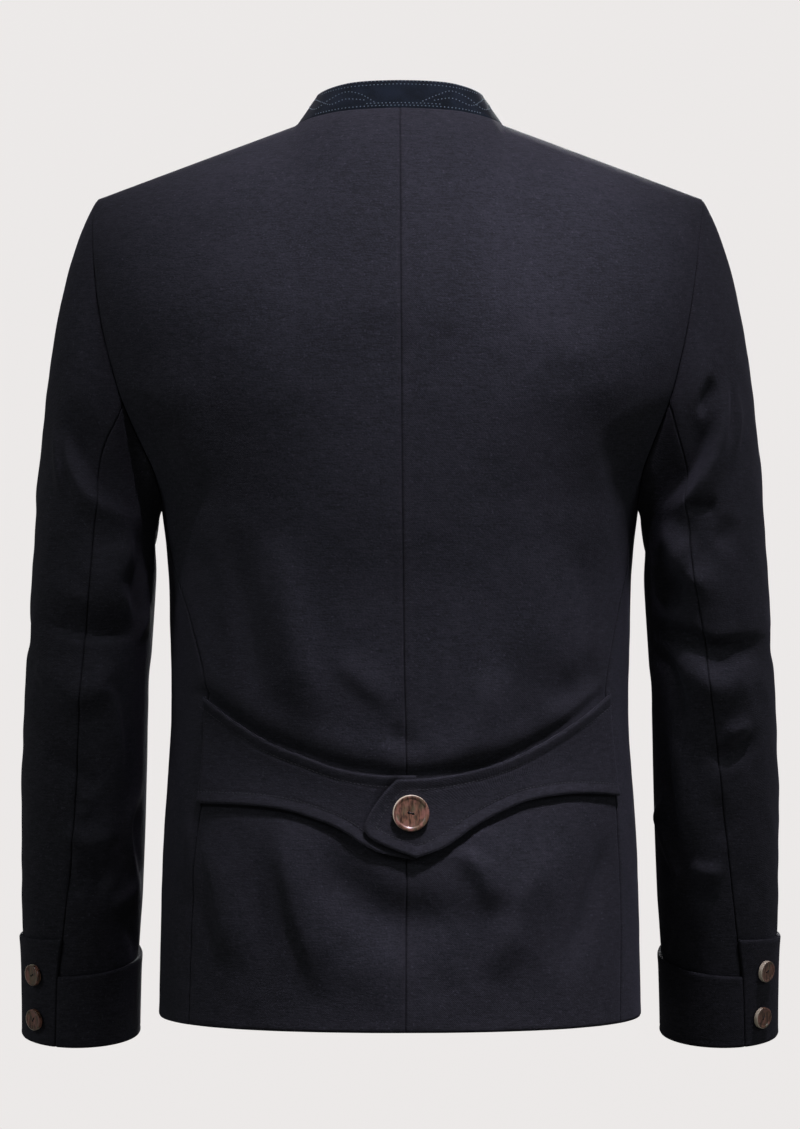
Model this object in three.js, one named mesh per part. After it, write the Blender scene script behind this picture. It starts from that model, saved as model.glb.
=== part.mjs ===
// A man's short wool jacket with a standing collar, a double-breasted front and a half belt buttoned
// across the back. It is filled out as if worn, and open at the neck, the hem and both cuffs.
//
// Millimetres, +Z up. The wearer faces -Y and the wearer's left is +X. The origin lies midway between
// the two points where the shoulder seams reach the collar, at their height.
//
// The body panels lie on one smooth form, found by an angle round the body (0 at the centre back, 90
// degrees at the wearer's left side, 180 at the centre front) and a height. Each panel is a grid of
// such places, given the cloth's thickness inwards. Sleeves and collar have forms of their own, and
// what lies on a panel, such as the belt or a cuff, is made from its points, moved out.
import * as THREE from "three";

const { clamp, degToRad, lerp, smoothstep } = THREE.MathUtils;

// Cloth
const CLOTH = 2; // the wool with what is fused behind it
const FOLDED_CLOTH = 2.4; // belt, cuffs and collar, which are two layers
const SEAM_GAP = 0.3;

// Lengths and heights
const HEM_Z = -671;
const ARMHOLE_FOOT_Z = -282;
const ARMHOLE_FOOT_DIP = 6; // how far the armhole dips between the two side seams
const SHOULDER = { x: 229, z: -56 }; // where the shoulder seam meets the sleeve
const NECK = { half_width: 78, back_rise: 7, front_drop: 80, front_bend: 1.9 };
const UNDER_NECK_X = 72; // the hem's point that lies below the neck point
const OVERLAP_COLUMNS = 4; // neckline columns by which each front reaches past the centre front

// How many grid columns and rows each stretch of a panel has
const COLUMNS = { neck: 6, shoulder: 7, side: 4 };
const ROWS = { low: 11, high: 10, cap: 6, arm: 17, cuff: 3, collar: 3, belt: 6 };
const NECK_STEP = 90 / COLUMNS.neck; // degrees round the neck for each column
const OVERLAP = NECK.half_width * Math.sin(degToRad(OVERLAP_COLUMNS * NECK_STEP));
const OVERLAP_SLOPE = { from: 7, to: 0.5 }; // how far past the overlap the left front comes down

// The body from hem to shoulder: half widths of the back and the front, which part above the armhole's
// foot, and how far the cloth stands behind and before the shoulder line.
const BODY = [
  { z: -671, back_width: 182, front_width: 182, back: 138, front: 136 },
  { z: -560, back_width: 179.5, front_width: 179.5, back: 129, front: 129 },
  { z: -440, back_width: 173.4, front_width: 173.4, back: 117, front: 123 },
  { z: -360, back_width: 174, front_width: 174, back: 119, front: 127 },
  { z: -290, back_width: 180, front_width: 180, back: 127, front: 134 },
  { z: -240, back_width: 205, front_width: 198, back: 131, front: 137 },
  { z: -200, back_width: 229, front_width: 215, back: 133, front: 138 },
  { z: -150, back_width: 240, front_width: 225, back: 132, front: 136 },
  { z: -90, back_width: 246, front_width: 238, back: 129, front: 133 },
  { z: 60, back_width: 251, front_width: 243, back: 127, front: 131 },
];
const FULLNESS = 0.15; // how much squarer than an ellipse a section of the body is

// The height where the form closes over the neck opening, by distance from the middle. The back and
// the front differ, and beyond the neck both follow the shoulder seam. The `round` columns are the
// heights over which the cloth rounds on to that line.
const BACK_CROWN = [
  { x: 0, z: 36, round: 190 },
  { x: 40, z: 29, round: 190 },
  { x: 64, z: 14, round: 190 },
  { x: 78, z: 0, round: 188 },
  { x: 150, z: -26.7, round: 160 },
  { x: 229, z: -56, round: 120 },
];
const FRONT_CROWN = [
  { x: 0, z: -57, round: 160 },
  { x: 20, z: -52.4, round: 168 },
  { x: 39, z: -39.7, round: 200 },
  { x: 55, z: -24.2, round: 250 },
  { x: 67.5, z: -11.6, round: 288 },
  { x: 78, z: 0, round: 296 },
  { x: 100, z: -8.2, round: 276 },
  { x: 150, z: -26.7, round: 215 },
  { x: 229, z: -56, round: 128 },
];

// Where the back and front panels end: the seam to the side panel up to the armhole's foot, then the
// armhole. The back's two seams lie a little unevenly, as the belt draws them.
const PANEL_EDGE = [
  { z: -671, back_left: 156, back_right: 163, front: 163 },
  { z: -600, back_left: 154, back_right: 164, front: 162 },
  { z: -514, back_left: 148, back_right: 161, front: 159 },
  { z: -430, back_left: 144, back_right: 153, front: 157 },
  { z: -375, back_left: 155, back_right: 161, front: 162 },
  { z: -325, back_left: 171, back_right: 172, front: 172 },
  { z: -282, back_left: 179, back_right: 178.5, front: 178 },
  { z: -262, back_left: 184, back_right: 181.5, front: 181 },
  { z: -240, back_left: 194, back_right: 189, front: 185 },
  { z: -212, back_left: 206, back_right: 199.5, front: 197 },
  { z: -185, back_left: 214.5, back_right: 207, front: 202 },
  { z: -150, back_left: 223, back_right: 214.5, front: 208 },
  { z: -120, back_left: 227.5, back_right: 219.5, front: 215 },
  { z: -90, back_left: 230, back_right: 223.5, front: 223 },
  { z: -72, back_left: 230.5, back_right: 226, front: 227 },
  { z: -56, back_left: 229, back_right: 229, front: 229 },
];

// The centre back seam, drawn a little to the wearer's right towards the belt
const BACK_SEAM = [
  { z: -671, x: -4 },
  { z: -514, x: -5 },
  { z: -400, x: -3 },
  { z: -200, x: -1 },
  { z: 7, x: 0 },
];

// The arm below the armpit: centre and half sizes of each ring, and how far it tips towards the front
const ARM = [
  { z: -300, x: 228.6, y: 0, half_width: 46.6, half_depth: 67, tip: 0 },
  { z: -354, x: 231.7, y: 2, half_width: 46.9, half_depth: 64.5, tip: 1 },
  { z: -419, x: 235.8, y: 2, half_width: 47, half_depth: 61, tip: 3 },
  { z: -464, x: 237.8, y: -2, half_width: 47, half_depth: 58.5, tip: 5 },
  { z: -522, x: 239.5, y: -9, half_width: 46.8, half_depth: 56, tip: 6.5 },
  { z: -580, x: 241.3, y: -17, half_width: 46, half_depth: 53.5, tip: 7.5 },
  { z: -606, x: 242, y: -21, half_width: 44.7, half_depth: 51.5, tip: 8 },
  { z: -640, x: 242.6, y: -26, half_width: 43, half_depth: 49.5, tip: 8 },
  { z: -688, x: 243.4, y: -33, half_width: 42.2, half_depth: 48.5, tip: 8 },
];
// The sleeve's second coordinate: 0 to 1 over the cap, 1 to 2 down the arm
const CAP_END = 1;
const SLEEVE_END = 2;
const SEAMS_SETTLED = 0.75; // from here down the two seams run as in their table
const FOLDS_FULL = 0.25; // and the folds have their whole height
// How the cap leaves the armhole and joins the arm, at the top of the shoulder and under the arm
const CAP_FLOW = {
  top: { out: 95, down: 150, end_out: 16, end_down: 230 },
  foot: { out: 3, down: 12, end_out: 0, end_down: 20 },
  belly: 24,
};
// The sleeve's two seams, in degrees round the arm: 0 outside, 90 behind, 180 at the body, -90 in front
const SLEEVE_SEAM = [
  { place: 0, hind_left: 121, hind_right: 125, fore: -104 },
  { place: 0.5, hind_left: 102, hind_right: 115, fore: -112 },
  { place: 1, hind_left: 93, hind_right: 108, fore: -118 },
  { place: 1.3, hind_left: 89, hind_right: 97, fore: -120 },
  { place: 1.55, hind_left: 86, hind_right: 87, fore: -120 },
  { place: 1.75, hind_left: 78, hind_right: 78, fore: -120 },
  { place: 1.87, hind_left: 71, hind_right: 71, fore: -120 },
  { place: 2, hind_left: 69, hind_right: 69, fore: -120 },
];
// The armhole's points, counted from the shoulder, where the two seams start
const HIND_LOOP = 8;
const FORE_LOOP = -7;
const TURN_COSINE = 0.3; // a cap that leaves the panel more steeply than this keeps its own way through

// The turned-up cuffs: heights at the hind seam, the widest place between, and the fore seam
const UPPER_CUFF = [
  { share: 0, height: 67 },
  { share: 0.6, height: 76 },
  { share: 1, height: 83 },
];
const UNDER_CUFF = [
  { share: 0, height: 54 },
  { share: 0.5, height: 59 },
  { share: 1, height: 67 },
];

// The standing collar, by degrees from the centre back
const COLLAR = [
  { angle: 0, height: 24, lean: 25 },
  { angle: 90, height: 28, lean: 35 },
  { angle: 178, height: 28, lean: 10 },
];
const COLLAR_END = { angle: 178, corner: 11 }; // it stops short of the centre front in a round corner
const CORNER_COLUMNS = [171.5, 175.5]; // degrees

// The half belt's two pieces as seen from behind. Each is drawn by distance from the middle, which is
// towards the piece's own side seam, and the pointed end of the upper piece is a list of its own.
const LEFT_BELT = {
  top: [
    { x: -12, z: -485 },
    { x: 18, z: -484.5 },
    { x: 45, z: -480 },
    { x: 71, z: -471 },
    { x: 97, z: -461 },
    { x: 122, z: -446 },
    { x: 144, z: -429 },
  ],
  bottom: [
    { x: -12, z: -547 },
    { x: 14, z: -542 },
    { x: 29, z: -535 },
    { x: 45, z: -525 },
    { x: 66, z: -517 },
    { x: 89, z: -511 },
    { x: 115, z: -508.5 },
    { x: 149, z: -508 },
  ],
};
const RIGHT_BELT = {
  top: [
    { x: -3, z: -488 },
    { x: 28, z: -486 },
    { x: 59, z: -480.5 },
    { x: 85, z: -472 },
    { x: 111, z: -459 },
    { x: 134, z: -444 },
    { x: 154, z: -427 },
  ],
  bottom: [
    { x: 12, z: -546 },
    { x: 33, z: -538 },
    { x: 59, z: -521 },
    { x: 92, z: -506 },
    { x: 122, z: -501 },
    { x: 143, z: -501 },
    { x: 161, z: -503.5 },
  ],
};
const RIGHT_BELT_POINT = [
  { x: 12, z: -546 },
  { x: -10, z: -538 },
  { x: -24, z: -530 },
  { x: -25.5, z: -520 },
  { x: -15, z: -502 },
  { x: -3, z: -488 },
];
const BELT_COLUMNS = 16;
const BELT_STAND = { ends: 0.5, middle: 1.4 }; // how far the belt stands off the back
const BELT_OVER = { from: 44, to: 16 }; // the upper piece climbs on to the lower one between these
// The cloth drawn in below the belt, along a line that rises towards the sides and fades out there
const BELT_DRAW = { z: -515, rise: 49, half_span: 150, bend: 1.3, half_height: 34, depth: 5 };
const BELT_DRAW_FADE = { from: 0.45, to: 0.75 }; // cosines of the angle round the body

// Buttons: flat slices of horn. The large one has its two thread holes, the others a shallow face.
const BUTTON = {
  belt: { radius: 13.3, height: 4.2, sides: 24, bevel: 0.8, hole: { x: 2, radius: 1.9 } },
  front: { radius: 11, height: 3.6, sides: 14 },
  cuff: { radius: 8, height: 3.2, sides: 12 },
};
const SMALL_BEVEL = 0.25; // of the height
const FACE_DIP = { share: 0.3, depth: 0.4 };
const SEAT_SAMPLES = 11; // round a button's foot, to find the highest cloth under it
const FRONT_BUTTONS = { x: 47, z: [-122, -234, -346, -458] };
const CUFF_BUTTONS = {
  left: [{ degrees: 46, above_end: 53 }, { degrees: 47, above_end: 19 }],
  right: [{ degrees: 47, above_end: 56 }, { degrees: 51, above_end: 21 }],
};
const BELT_BUTTON = { x: -8, z: -513.5 };

// The largest folds, as soft ridges (+) and troughs (-) from one end to the other. Degrees round the
// body, positive on the wearer's left, or round the arm. Half width and height in millimetres.
const BODY_FOLDS = [
  { from: 32, from_z: -250, to: 21, to_z: -462, half_width: 20, height: 4 },
  { from: 46, from_z: -262, to: 37, to_z: -450, half_width: 19, height: -4.5 },
  { from: -31, from_z: -280, to: -22, to_z: -470, half_width: 22, height: 3 },
  { from: -47, from_z: -260, to: -42, to_z: -450, half_width: 18, height: -3 },
  { from: 45, from_z: -490, to: 33, to_z: -670, half_width: 17, height: 4.5 },
  { from: 31, from_z: -490, to: 19, to_z: -660, half_width: 14, height: -5 },
  { from: 22, from_z: -505, to: 9, to_z: -670, half_width: 17, height: 4 },
  { from: -13, from_z: -520, to: -17, to_z: -620, half_width: 15, height: -4 },
  { from: -26, from_z: -500, to: -17, to_z: -670, half_width: 18, height: 4 },
  { from: -42, from_z: -490, to: -30, to_z: -660, half_width: 16, height: -4 },
  { from: -58, from_z: -485, to: -33, to_z: -690, half_width: 17, height: 4.5 },
  { from: 150, from_z: -230, to: 163, to_z: -480, half_width: 24, height: 3.5 },
  { from: 132, from_z: -250, to: 142, to_z: -470, half_width: 22, height: -4 },
  { from: -150, from_z: -220, to: -160, to_z: -460, half_width: 24, height: 3 },
  { from: -131, from_z: -250, to: -140, to_z: -500, half_width: 22, height: -4 },
  { from: 140, from_z: -470, to: 147, to_z: -690, half_width: 24, height: 4 },
  { from: -142, from_z: -480, to: -148, to_z: -690, half_width: 24, height: 4 },
];
const ARM_FOLDS = {
  left: [
    { from: 12, from_z: -205, to: 122, to_z: -306, half_width: 15, height: 4 },
    { from: 38, from_z: -196, to: 112, to_z: -262, half_width: 15, height: -4 },
    { from: 108, from_z: -300, to: 190, to_z: -362, half_width: 17, height: -5 },
    { from: 8, from_z: -386, to: 142, to_z: -388, half_width: 13, height: -5 },
    { from: 18, from_z: -412, to: 120, to_z: -424, half_width: 18, height: 3.5 },
    { from: 104, from_z: -400, to: 176, to_z: -444, half_width: 17, height: -5 },
    { from: -30, from_z: -380, to: -150, to_z: -430, half_width: 17, height: -4.5 },
    { from: -40, from_z: -470, to: -140, to_z: -500, half_width: 17, height: -3.5 },
    { from: 175, from_z: -505, to: 100, to_z: -596, half_width: 16, height: 3 },
  ],
  right: [
    { from: 14, from_z: -190, to: 128, to_z: -300, half_width: 15, height: 4 },
    { from: 36, from_z: -172, to: 112, to_z: -250, half_width: 15, height: -4 },
    { from: 112, from_z: -304, to: 190, to_z: -356, half_width: 17, height: -5 },
    { from: 6, from_z: -394, to: 160, to_z: -384, half_width: 13, height: -5 },
    { from: 24, from_z: -420, to: 132, to_z: -414, half_width: 17, height: 3.5 },
    { from: 12, from_z: -461, to: 96, to_z: -476, half_width: 15, height: -4 },
    { from: -26, from_z: -392, to: -146, to_z: -440, half_width: 17, height: -4.5 },
    { from: -44, from_z: -482, to: -140, to_z: -512, half_width: 17, height: -3.5 },
    { from: 172, from_z: -496, to: 118, to_z: -590, half_width: 16, height: 3 },
  ],
};
const BODY_GIRTH = 160; // millimetres along the cloth for each radian round the body, and round the arm
const ARM_GIRTH = 57;
const ARM_TURN = -60; // degrees past which a place in front counts on from behind, for the folds

const PAINT = {
  wool: { color: 0x1a1b21, roughness: 0.9, metalness: 0 },
  suede: { color: 0x16262d, roughness: 0.95, metalness: 0 },
  horn: { color: 0x6f4d36, roughness: 0.5, metalness: 0 },
};

// A smooth curve through a table: the value of one column at any value of another, with no overshoot
function through(rows, at, of) {
  const sorted = [...rows].sort((a, b) => a[at] - b[at]);
  const x = sorted.map((row) => row[at]);
  const y = sorted.map((row) => row[of]);
  const last = x.length - 1;
  const rise = y.slice(1).map((value, i) => (value - y[i]) / (x[i + 1] - x[i]));
  const slope = y.map((_, i) => {
    if (i === 0) return rise[0];
    if (i === last) return rise[last - 1];
    return rise[i - 1] * rise[i] <= 0 ? 0 : 2 / (1 / rise[i - 1] + 1 / rise[i]);
  });
  return (value) => {
    const v = clamp(value, x[0], x[last]);
    let i = 0;
    while (i < last - 1 && v > x[i + 1]) i += 1;
    const step = x[i + 1] - x[i];
    const t = (v - x[i]) / step;
    const bend = t * t * (3 - 2 * t);
    return y[i] * (1 - bend) + y[i + 1] * bend
      + step * t * (1 - t) * (slope[i] * (1 - t) - slope[i + 1] * t);
  };
}

// How far the folds lift the cloth at a place: each is a soft bar that fades towards its ends
function folded(folds, girth, degrees, z) {
  return folds.reduce((sum, fold) => {
    const run = degToRad(fold.to - fold.from) * girth;
    const fall = fold.to_z - fold.from_z;
    const across = degToRad(degrees - fold.from) * girth;
    const down = z - fold.from_z;
    const along = (across * run + down * fall) / (run * run + fall * fall);
    if (along <= 0 || along >= 1) return sum;
    const aside = (across * fall - down * run) / Math.hypot(run, fall);
    return sum + fold.height * Math.sin(Math.PI * along) * Math.exp(-((aside / fold.half_width) ** 2));
  }, 0);
}

// The body's form

function formHalf(face, crown) {
  const inside = through(crown.filter((row) => row.x <= NECK.half_width), "x", "z");
  const fall = SHOULDER.z / (SHOULDER.x - NECK.half_width);
  return {
    width: through(BODY, "z", `${face}_width`),
    depth: through(BODY, "z", face),
    crown: (x) => (x < NECK.half_width ? inside(x) : (x - NECK.half_width) * fall),
    round: through(crown, "x", "round"),
  };
}

const HALVES = { back: formHalf("back", BACK_CROWN), front: formHalf("front", FRONT_CROWN) };

function beltDraw(angle, x, z) {
  const middle = BELT_DRAW.z + BELT_DRAW.rise * (Math.abs(x) / BELT_DRAW.half_span) ** BELT_DRAW.bend;
  const fade = smoothstep(Math.cos(angle), BELT_DRAW_FADE.from, BELT_DRAW_FADE.to);
  return -BELT_DRAW.depth * fade * Math.exp(-(((z - middle) / BELT_DRAW.half_height) ** 2));
}

function bodyPoint(angle, z) {
  const half = Math.cos(angle) >= 0 ? HALVES.back : HALVES.front;
  const x = half.width(z) * Math.sin(angle);
  const below = clamp((half.crown(Math.abs(x)) - z) / half.round(Math.abs(x)), 0, 1);
  const rounded = Math.sqrt(1 - (1 - below) ** 2);
  const y = half.depth(z) * Math.cos(angle) * (1 + FULLNESS * Math.sin(angle) ** 2) * rounded;
  const degrees = THREE.MathUtils.euclideanModulo(THREE.MathUtils.radToDeg(angle) + 180, 360) - 180;
  const lift = folded(BODY_FOLDS, BODY_GIRTH, degrees, z) + beltDraw(angle, x, z);
  return new THREE.Vector3(x + lift * Math.sin(angle), y + lift * Math.cos(angle), z);
}

// The place on the form at a distance from the middle, positive on the wearer's left, and a height
function bodyPlace(side, face, x, z) {
  const turned = Math.asin(clamp(x / HALVES[face].width(z), -1, 1));
  return [face === "back" ? turned : side * (Math.PI - side * turned), z];
}

// The neckline's place, by degrees round the neck from the centre back, on one side of the body
function neckPlace(side, face, degrees) {
  const sine = Math.sin(degToRad(degrees));
  const z = face === "back"
    ? NECK.back_rise * (1 - sine ** 2.5)
    : -NECK.front_drop * Math.abs(Math.cos(degToRad(degrees))) ** NECK.front_bend;
  return bodyPlace(side, face, side * NECK.half_width * sine, z);
}

// Surfaces: a point for each (u, v), how far to step to find the slope, and which way it faces
const BODY_SURFACE = { point: bodyPoint, step_u: 1e-3, below: 0.3, above: 0, facing: 1 };

function outward(surface, u, v) {
  const alongU = surface.point(u + surface.step_u, v).sub(surface.point(u - surface.step_u, v));
  const alongV = surface.point(u, v + surface.above).sub(surface.point(u, v - surface.below));
  return alongV.cross(alongU).normalize().multiplyScalar(surface.facing);
}

// Grids

const spread = (count, make) => Array.from({ length: count + 1 }, (_, i) => make(i / count, i));

// A grid that fills four sides, each a list of [u, v] pairs. The lists meet at the corners.
function filled(bottom, top, left, right) {
  const lastRow = left.length - 1;
  const lastColumn = bottom.length - 1;
  return left.map((_, row) => bottom.map((__, column) => [0, 1].map((k) => {
    const s = column / lastColumn;
    const t = row / lastRow;
    const ruled = lerp(bottom[column][k], top[column][k], t) + lerp(left[row][k], right[row][k], s);
    const low = lerp(bottom[0][k], bottom[lastColumn][k], s);
    const high = lerp(top[0][k], top[lastColumn][k], s);
    return ruled - lerp(low, high, t);
  })));
}

// Draws each edge of a grid of points in by half a seam gap, towards the next point
function trimmed(points) {
  const draw = (from, to) => from.clone().add(to.clone().sub(from).setLength(SEAM_GAP / 2));
  const last = points.length - 1;
  const rows = points.map((row, i) => {
    if (i === 0) return row.map((p, j) => draw(p, points[1][j]));
    if (i === last) return row.map((p, j) => draw(p, points[last - 1][j]));
    return row;
  });
  return rows.map((row) => {
    const end = row.length - 1;
    return row.map((p, j) => (j === 0 ? draw(p, row[1]) : j === end ? draw(p, row[end - 1]) : p));
  });
}

// Six times the volume inside a closed mesh, negative where its faces point in
function enclosed(positions, index) {
  const corner = (k) => new THREE.Vector3().fromArray(positions, 3 * index[k]);
  let sum = 0;
  for (let k = 0; k < index.length; k += 3) sum += corner(k).dot(corner(k + 1).cross(corner(k + 2)));
  return sum;
}

// A closed wall between two grids of points: both faces and the rim round them
function wall(outer, inner) {
  const rows = outer.length;
  const columns = outer[0].length;
  const count = rows * columns;
  const positions = [...outer.flat(), ...inner.flat()].flatMap((p) => p.toArray());
  const index = [];
  const quad = (a, b, c, d) => index.push(a, b, c, a, c, d);
  for (let i = 0; i < rows - 1; i += 1) {
    for (let j = 0; j < columns - 1; j += 1) {
      const a = i * columns + j;
      quad(a, a + columns, a + columns + 1, a + 1);
      quad(count + a, count + a + 1, count + a + columns + 1, count + a + columns);
    }
  }
  const rim = [
    ...spread(columns - 1, (_, j) => j),
    ...spread(rows - 2, (_, i) => (i + 1) * columns + columns - 1),
    ...spread(columns - 2, (_, j) => (rows - 1) * columns + columns - 2 - j),
    ...spread(rows - 3, (_, i) => (rows - 2 - i) * columns),
  ];
  // The rim is split from its lower outer corners, so that the two sides of a seam are split alike
  rim.forEach((a, k) => {
    const b = rim[(k + 1) % rim.length];
    if (positions[3 * a + 2] < positions[3 * b + 2]) quad(a, b, count + b, count + a);
    else quad(b, count + b, count + a, a);
  });
  const geometry = new THREE.BufferGeometry();
  geometry.setAttribute("position", new THREE.Float32BufferAttribute(positions, 3));
  geometry.setIndex(enclosed(positions, index) < 0 ? index.reverse() : index);
  geometry.computeVertexNormals();
  return geometry;
}

const jacket = new THREE.Group();

function add(name, paint, geometry) {
  const mesh = new THREE.Mesh(geometry, new THREE.MeshStandardMaterial(PAINT[paint]));
  mesh.name = name;
  jacket.add(mesh);
  return mesh;
}

// Adds cloth over a grid of a surface's places. `lift` is how far its outer face stands off the
// surface, `laidOn` names the pieces whose flat faces it follows, and `inwards` gives the way through
// the cloth at a place of the first row, where it meets other cloth at an angle.
function addCloth(name, surface, grid, options = {}) {
  const { paint = "wool", thickness = CLOTH, lift = () => 0, laidOn, inwards } = options;
  const outer = [];
  const inner = [];
  grid.forEach((row, i) => {
    const normals = row.map(([u, v]) => outward(surface, u, v));
    const faces = row.map(([u, v], j) => {
      const point = surface.point(u, v);
      const base = laidOn ? onFaces(point, normals[j], laidOn) : point;
      return base.addScaledVector(normals[j], lift(u, v));
    });
    const ways = i === 0 && inwards
      ? normals.map((normal, j) => inwards(j, normal, surface.point(...grid[1][j])))
      : normals;
    outer.push(faces);
    inner.push(faces.map((p, j) => p.clone().addScaledVector(ways[j], -thickness)));
  });
  add(name, paint, wall(trimmed(outer), trimmed(inner)));
}

// Moves a point of a smooth form on to the flat faces of the named pieces there
const FACE_REACH = 20;

function onFaces(point, facing, names) {
  const from = point.clone().addScaledVector(facing, FACE_REACH);
  const ray = new THREE.Raycaster(from, facing.clone().negate(), 0, 2 * FACE_REACH);
  const [hit] = ray.intersectObjects(names.map((name) => jacket.getObjectByName(name)));
  return hit ? hit.point : point;
}

// Body panels. A row of the grid runs across the panel, and the rows crowd towards the shoulder,
// where the cloth turns over.

const nameOf = (side) => (side > 0 ? "left" : "right");

function edgeLine(side, face) {
  const column = face === "back" ? `back_${nameOf(side)}` : "front";
  const x = through(PANEL_EDGE, "z", column);
  const heights = [...lowRows(), ...highRows(SHOULDER.z).slice(1)];
  return heights.map((z) => bodyPlace(side, face, side * x(z), z));
}

const lowRows = () => spread(ROWS.low, (t) => lerp(HEM_Z, ARMHOLE_FOOT_Z, t));

const highRows = (top) => spread(ROWS.high, (t) => lerp(ARMHOLE_FOOT_Z, top, Math.sin((Math.PI / 2) * t)));

// The top of a panel from the centre to the shoulder point: half the neckline and the shoulder seam
function topLine(side, face) {
  const number = (j) => (face === "back" ? j : 2 * COLUMNS.neck - j);
  const neck = spread(COLUMNS.neck, (_, j) => neckPlace(side, face, number(j) * NECK_STEP));
  const seam = spread(COLUMNS.shoulder, (t) => {
    const x = lerp(NECK.half_width, SHOULDER.x, t);
    return bodyPlace(side, face, side * x, HALVES[face].crown(x));
  });
  return [...neck, ...seam.slice(1)];
}

// The hem of a panel from the centre to the side seam, with its columns below the top's
function hemLine(side, face, centreX) {
  const edge = edgeLine(side, face)[0];
  const under = bodyPlace(side, face, side * UNDER_NECK_X, HEM_Z);
  const centre = bodyPlace(side, face, centreX, HEM_Z);
  const between = (a, b, count) => spread(count, (t) => [lerp(a[0], b[0], t), HEM_Z]);
  return [...between(centre, under, COLUMNS.neck), ...between(under, edge, COLUMNS.shoulder).slice(1)];
}

function addBack(side) {
  const seamX = through(BACK_SEAM, "z", "x");
  const heights = [...lowRows(), ...highRows(NECK.back_rise).slice(1)];
  const centre = heights.map((z) => bodyPlace(side, "back", seamX(z), z));
  const hem = hemLine(side, "back", seamX(HEM_Z));
  const grid = filled(hem, topLine(side, "back"), centre, edgeLine(side, "back"));
  addCloth(`back_${nameOf(side)}`, BODY_SURFACE, grid);
}

// The front reaches past the centre, where both fronts have the same columns, straight up and down.
// The left one lies over the right one.
function addFront(side) {
  const heights = (top) => [...lowRows(), ...highRows(top).slice(1)];
  const columns = spread(2 * OVERLAP_COLUMNS, (_, j) => (j - OVERLAP_COLUMNS) * NECK_STEP).map((degrees) => {
    const x = side * NECK.half_width * Math.sin(degToRad(degrees));
    const [, top] = neckPlace(side, "front", 180 - Math.abs(degrees));
    return heights(top).map((z) => bodyPlace(side, "front", x, z));
  });
  const top = topLine(side, "front").slice(OVERLAP_COLUMNS);
  const edge = edgeLine(side, "front");
  const start = columns[2 * OVERLAP_COLUMNS];
  const hem = spread(top.length - 1, (t) => [lerp(start[0][0], edge[0][0], t), HEM_Z]);
  const rest = filled(hem, top, start, edge);
  const grid = rest.map((row, i) => [...columns.slice(0, -1).map((column) => column[i]), ...row]);
  const over = CLOTH + 2 * SEAM_GAP;
  const lift = (angle, z) => (side < 0 ? 0
    : over * smoothstep(-bodyPoint(angle, z).x, -OVERLAP - OVERLAP_SLOPE.from, -OVERLAP - OVERLAP_SLOPE.to));
  // Both fronts' columns run the same way, so that their faces are split alike where they overlap
  const ordered = side > 0 ? grid : grid.map((row) => [...row].reverse());
  addCloth(`front_${nameOf(side)}`, BODY_SURFACE, ordered, { lift });
}

// The side panel's top is the foot of the armhole
function sideTop(side) {
  const back = edgeLine(side, "back")[ROWS.low];
  const front = edgeLine(side, "front")[ROWS.low];
  return spread(COLUMNS.side, (t) => {
    const dip = ARMHOLE_FOOT_DIP * Math.sin(Math.PI * t);
    return [lerp(back[0], front[0], t), back[1] - dip];
  });
}

function addSide(side) {
  const back = edgeLine(side, "back").slice(0, ROWS.low + 1);
  const front = edgeLine(side, "front").slice(0, ROWS.low + 1);
  const hem = spread(COLUMNS.side, (t) => [lerp(back[0][0], front[0][0], t), HEM_Z]);
  addCloth(`side_${nameOf(side)}`, BODY_SURFACE, filled(hem, sideTop(side), back, front));
}

// Sleeves

// The armhole's points from the shoulder, numbered down the back and, below 0, down the front. Each has
// its angle round the arm.
function armholeLoop(side) {
  const back = edgeLine(side, "back").slice(ROWS.low).reverse();
  const foot = sideTop(side);
  const front = edgeLine(side, "front").slice(ROWS.low).reverse();
  const places = [...back, ...foot.slice(1, -1), ...[...front].reverse()].slice(0, -1);
  const points = places.map((place) => bodyPoint(...place));
  const middle = (SHOULDER.z + ARMHOLE_FOOT_Z) / 2;
  const firstFront = points.length - (front.length - 1);
  return points.map((p, i) => {
    const degrees = THREE.MathUtils.radToDeg(Math.atan2(p.y, p.z - middle));
    const number = i < firstFront ? i : i - points.length;
    const full = number > 0 && degrees < 0 ? degrees + 360 : degrees;
    return { number, degrees: full, x: Math.abs(p.x), y: p.y, z: p.z, place: places[i] };
  });
}

const ARM_SHAPE = Object.fromEntries(
  ["x", "y", "half_width", "half_depth", "tip"].map((key) => [key, through(ARM, "z", key)]),
);

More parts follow.
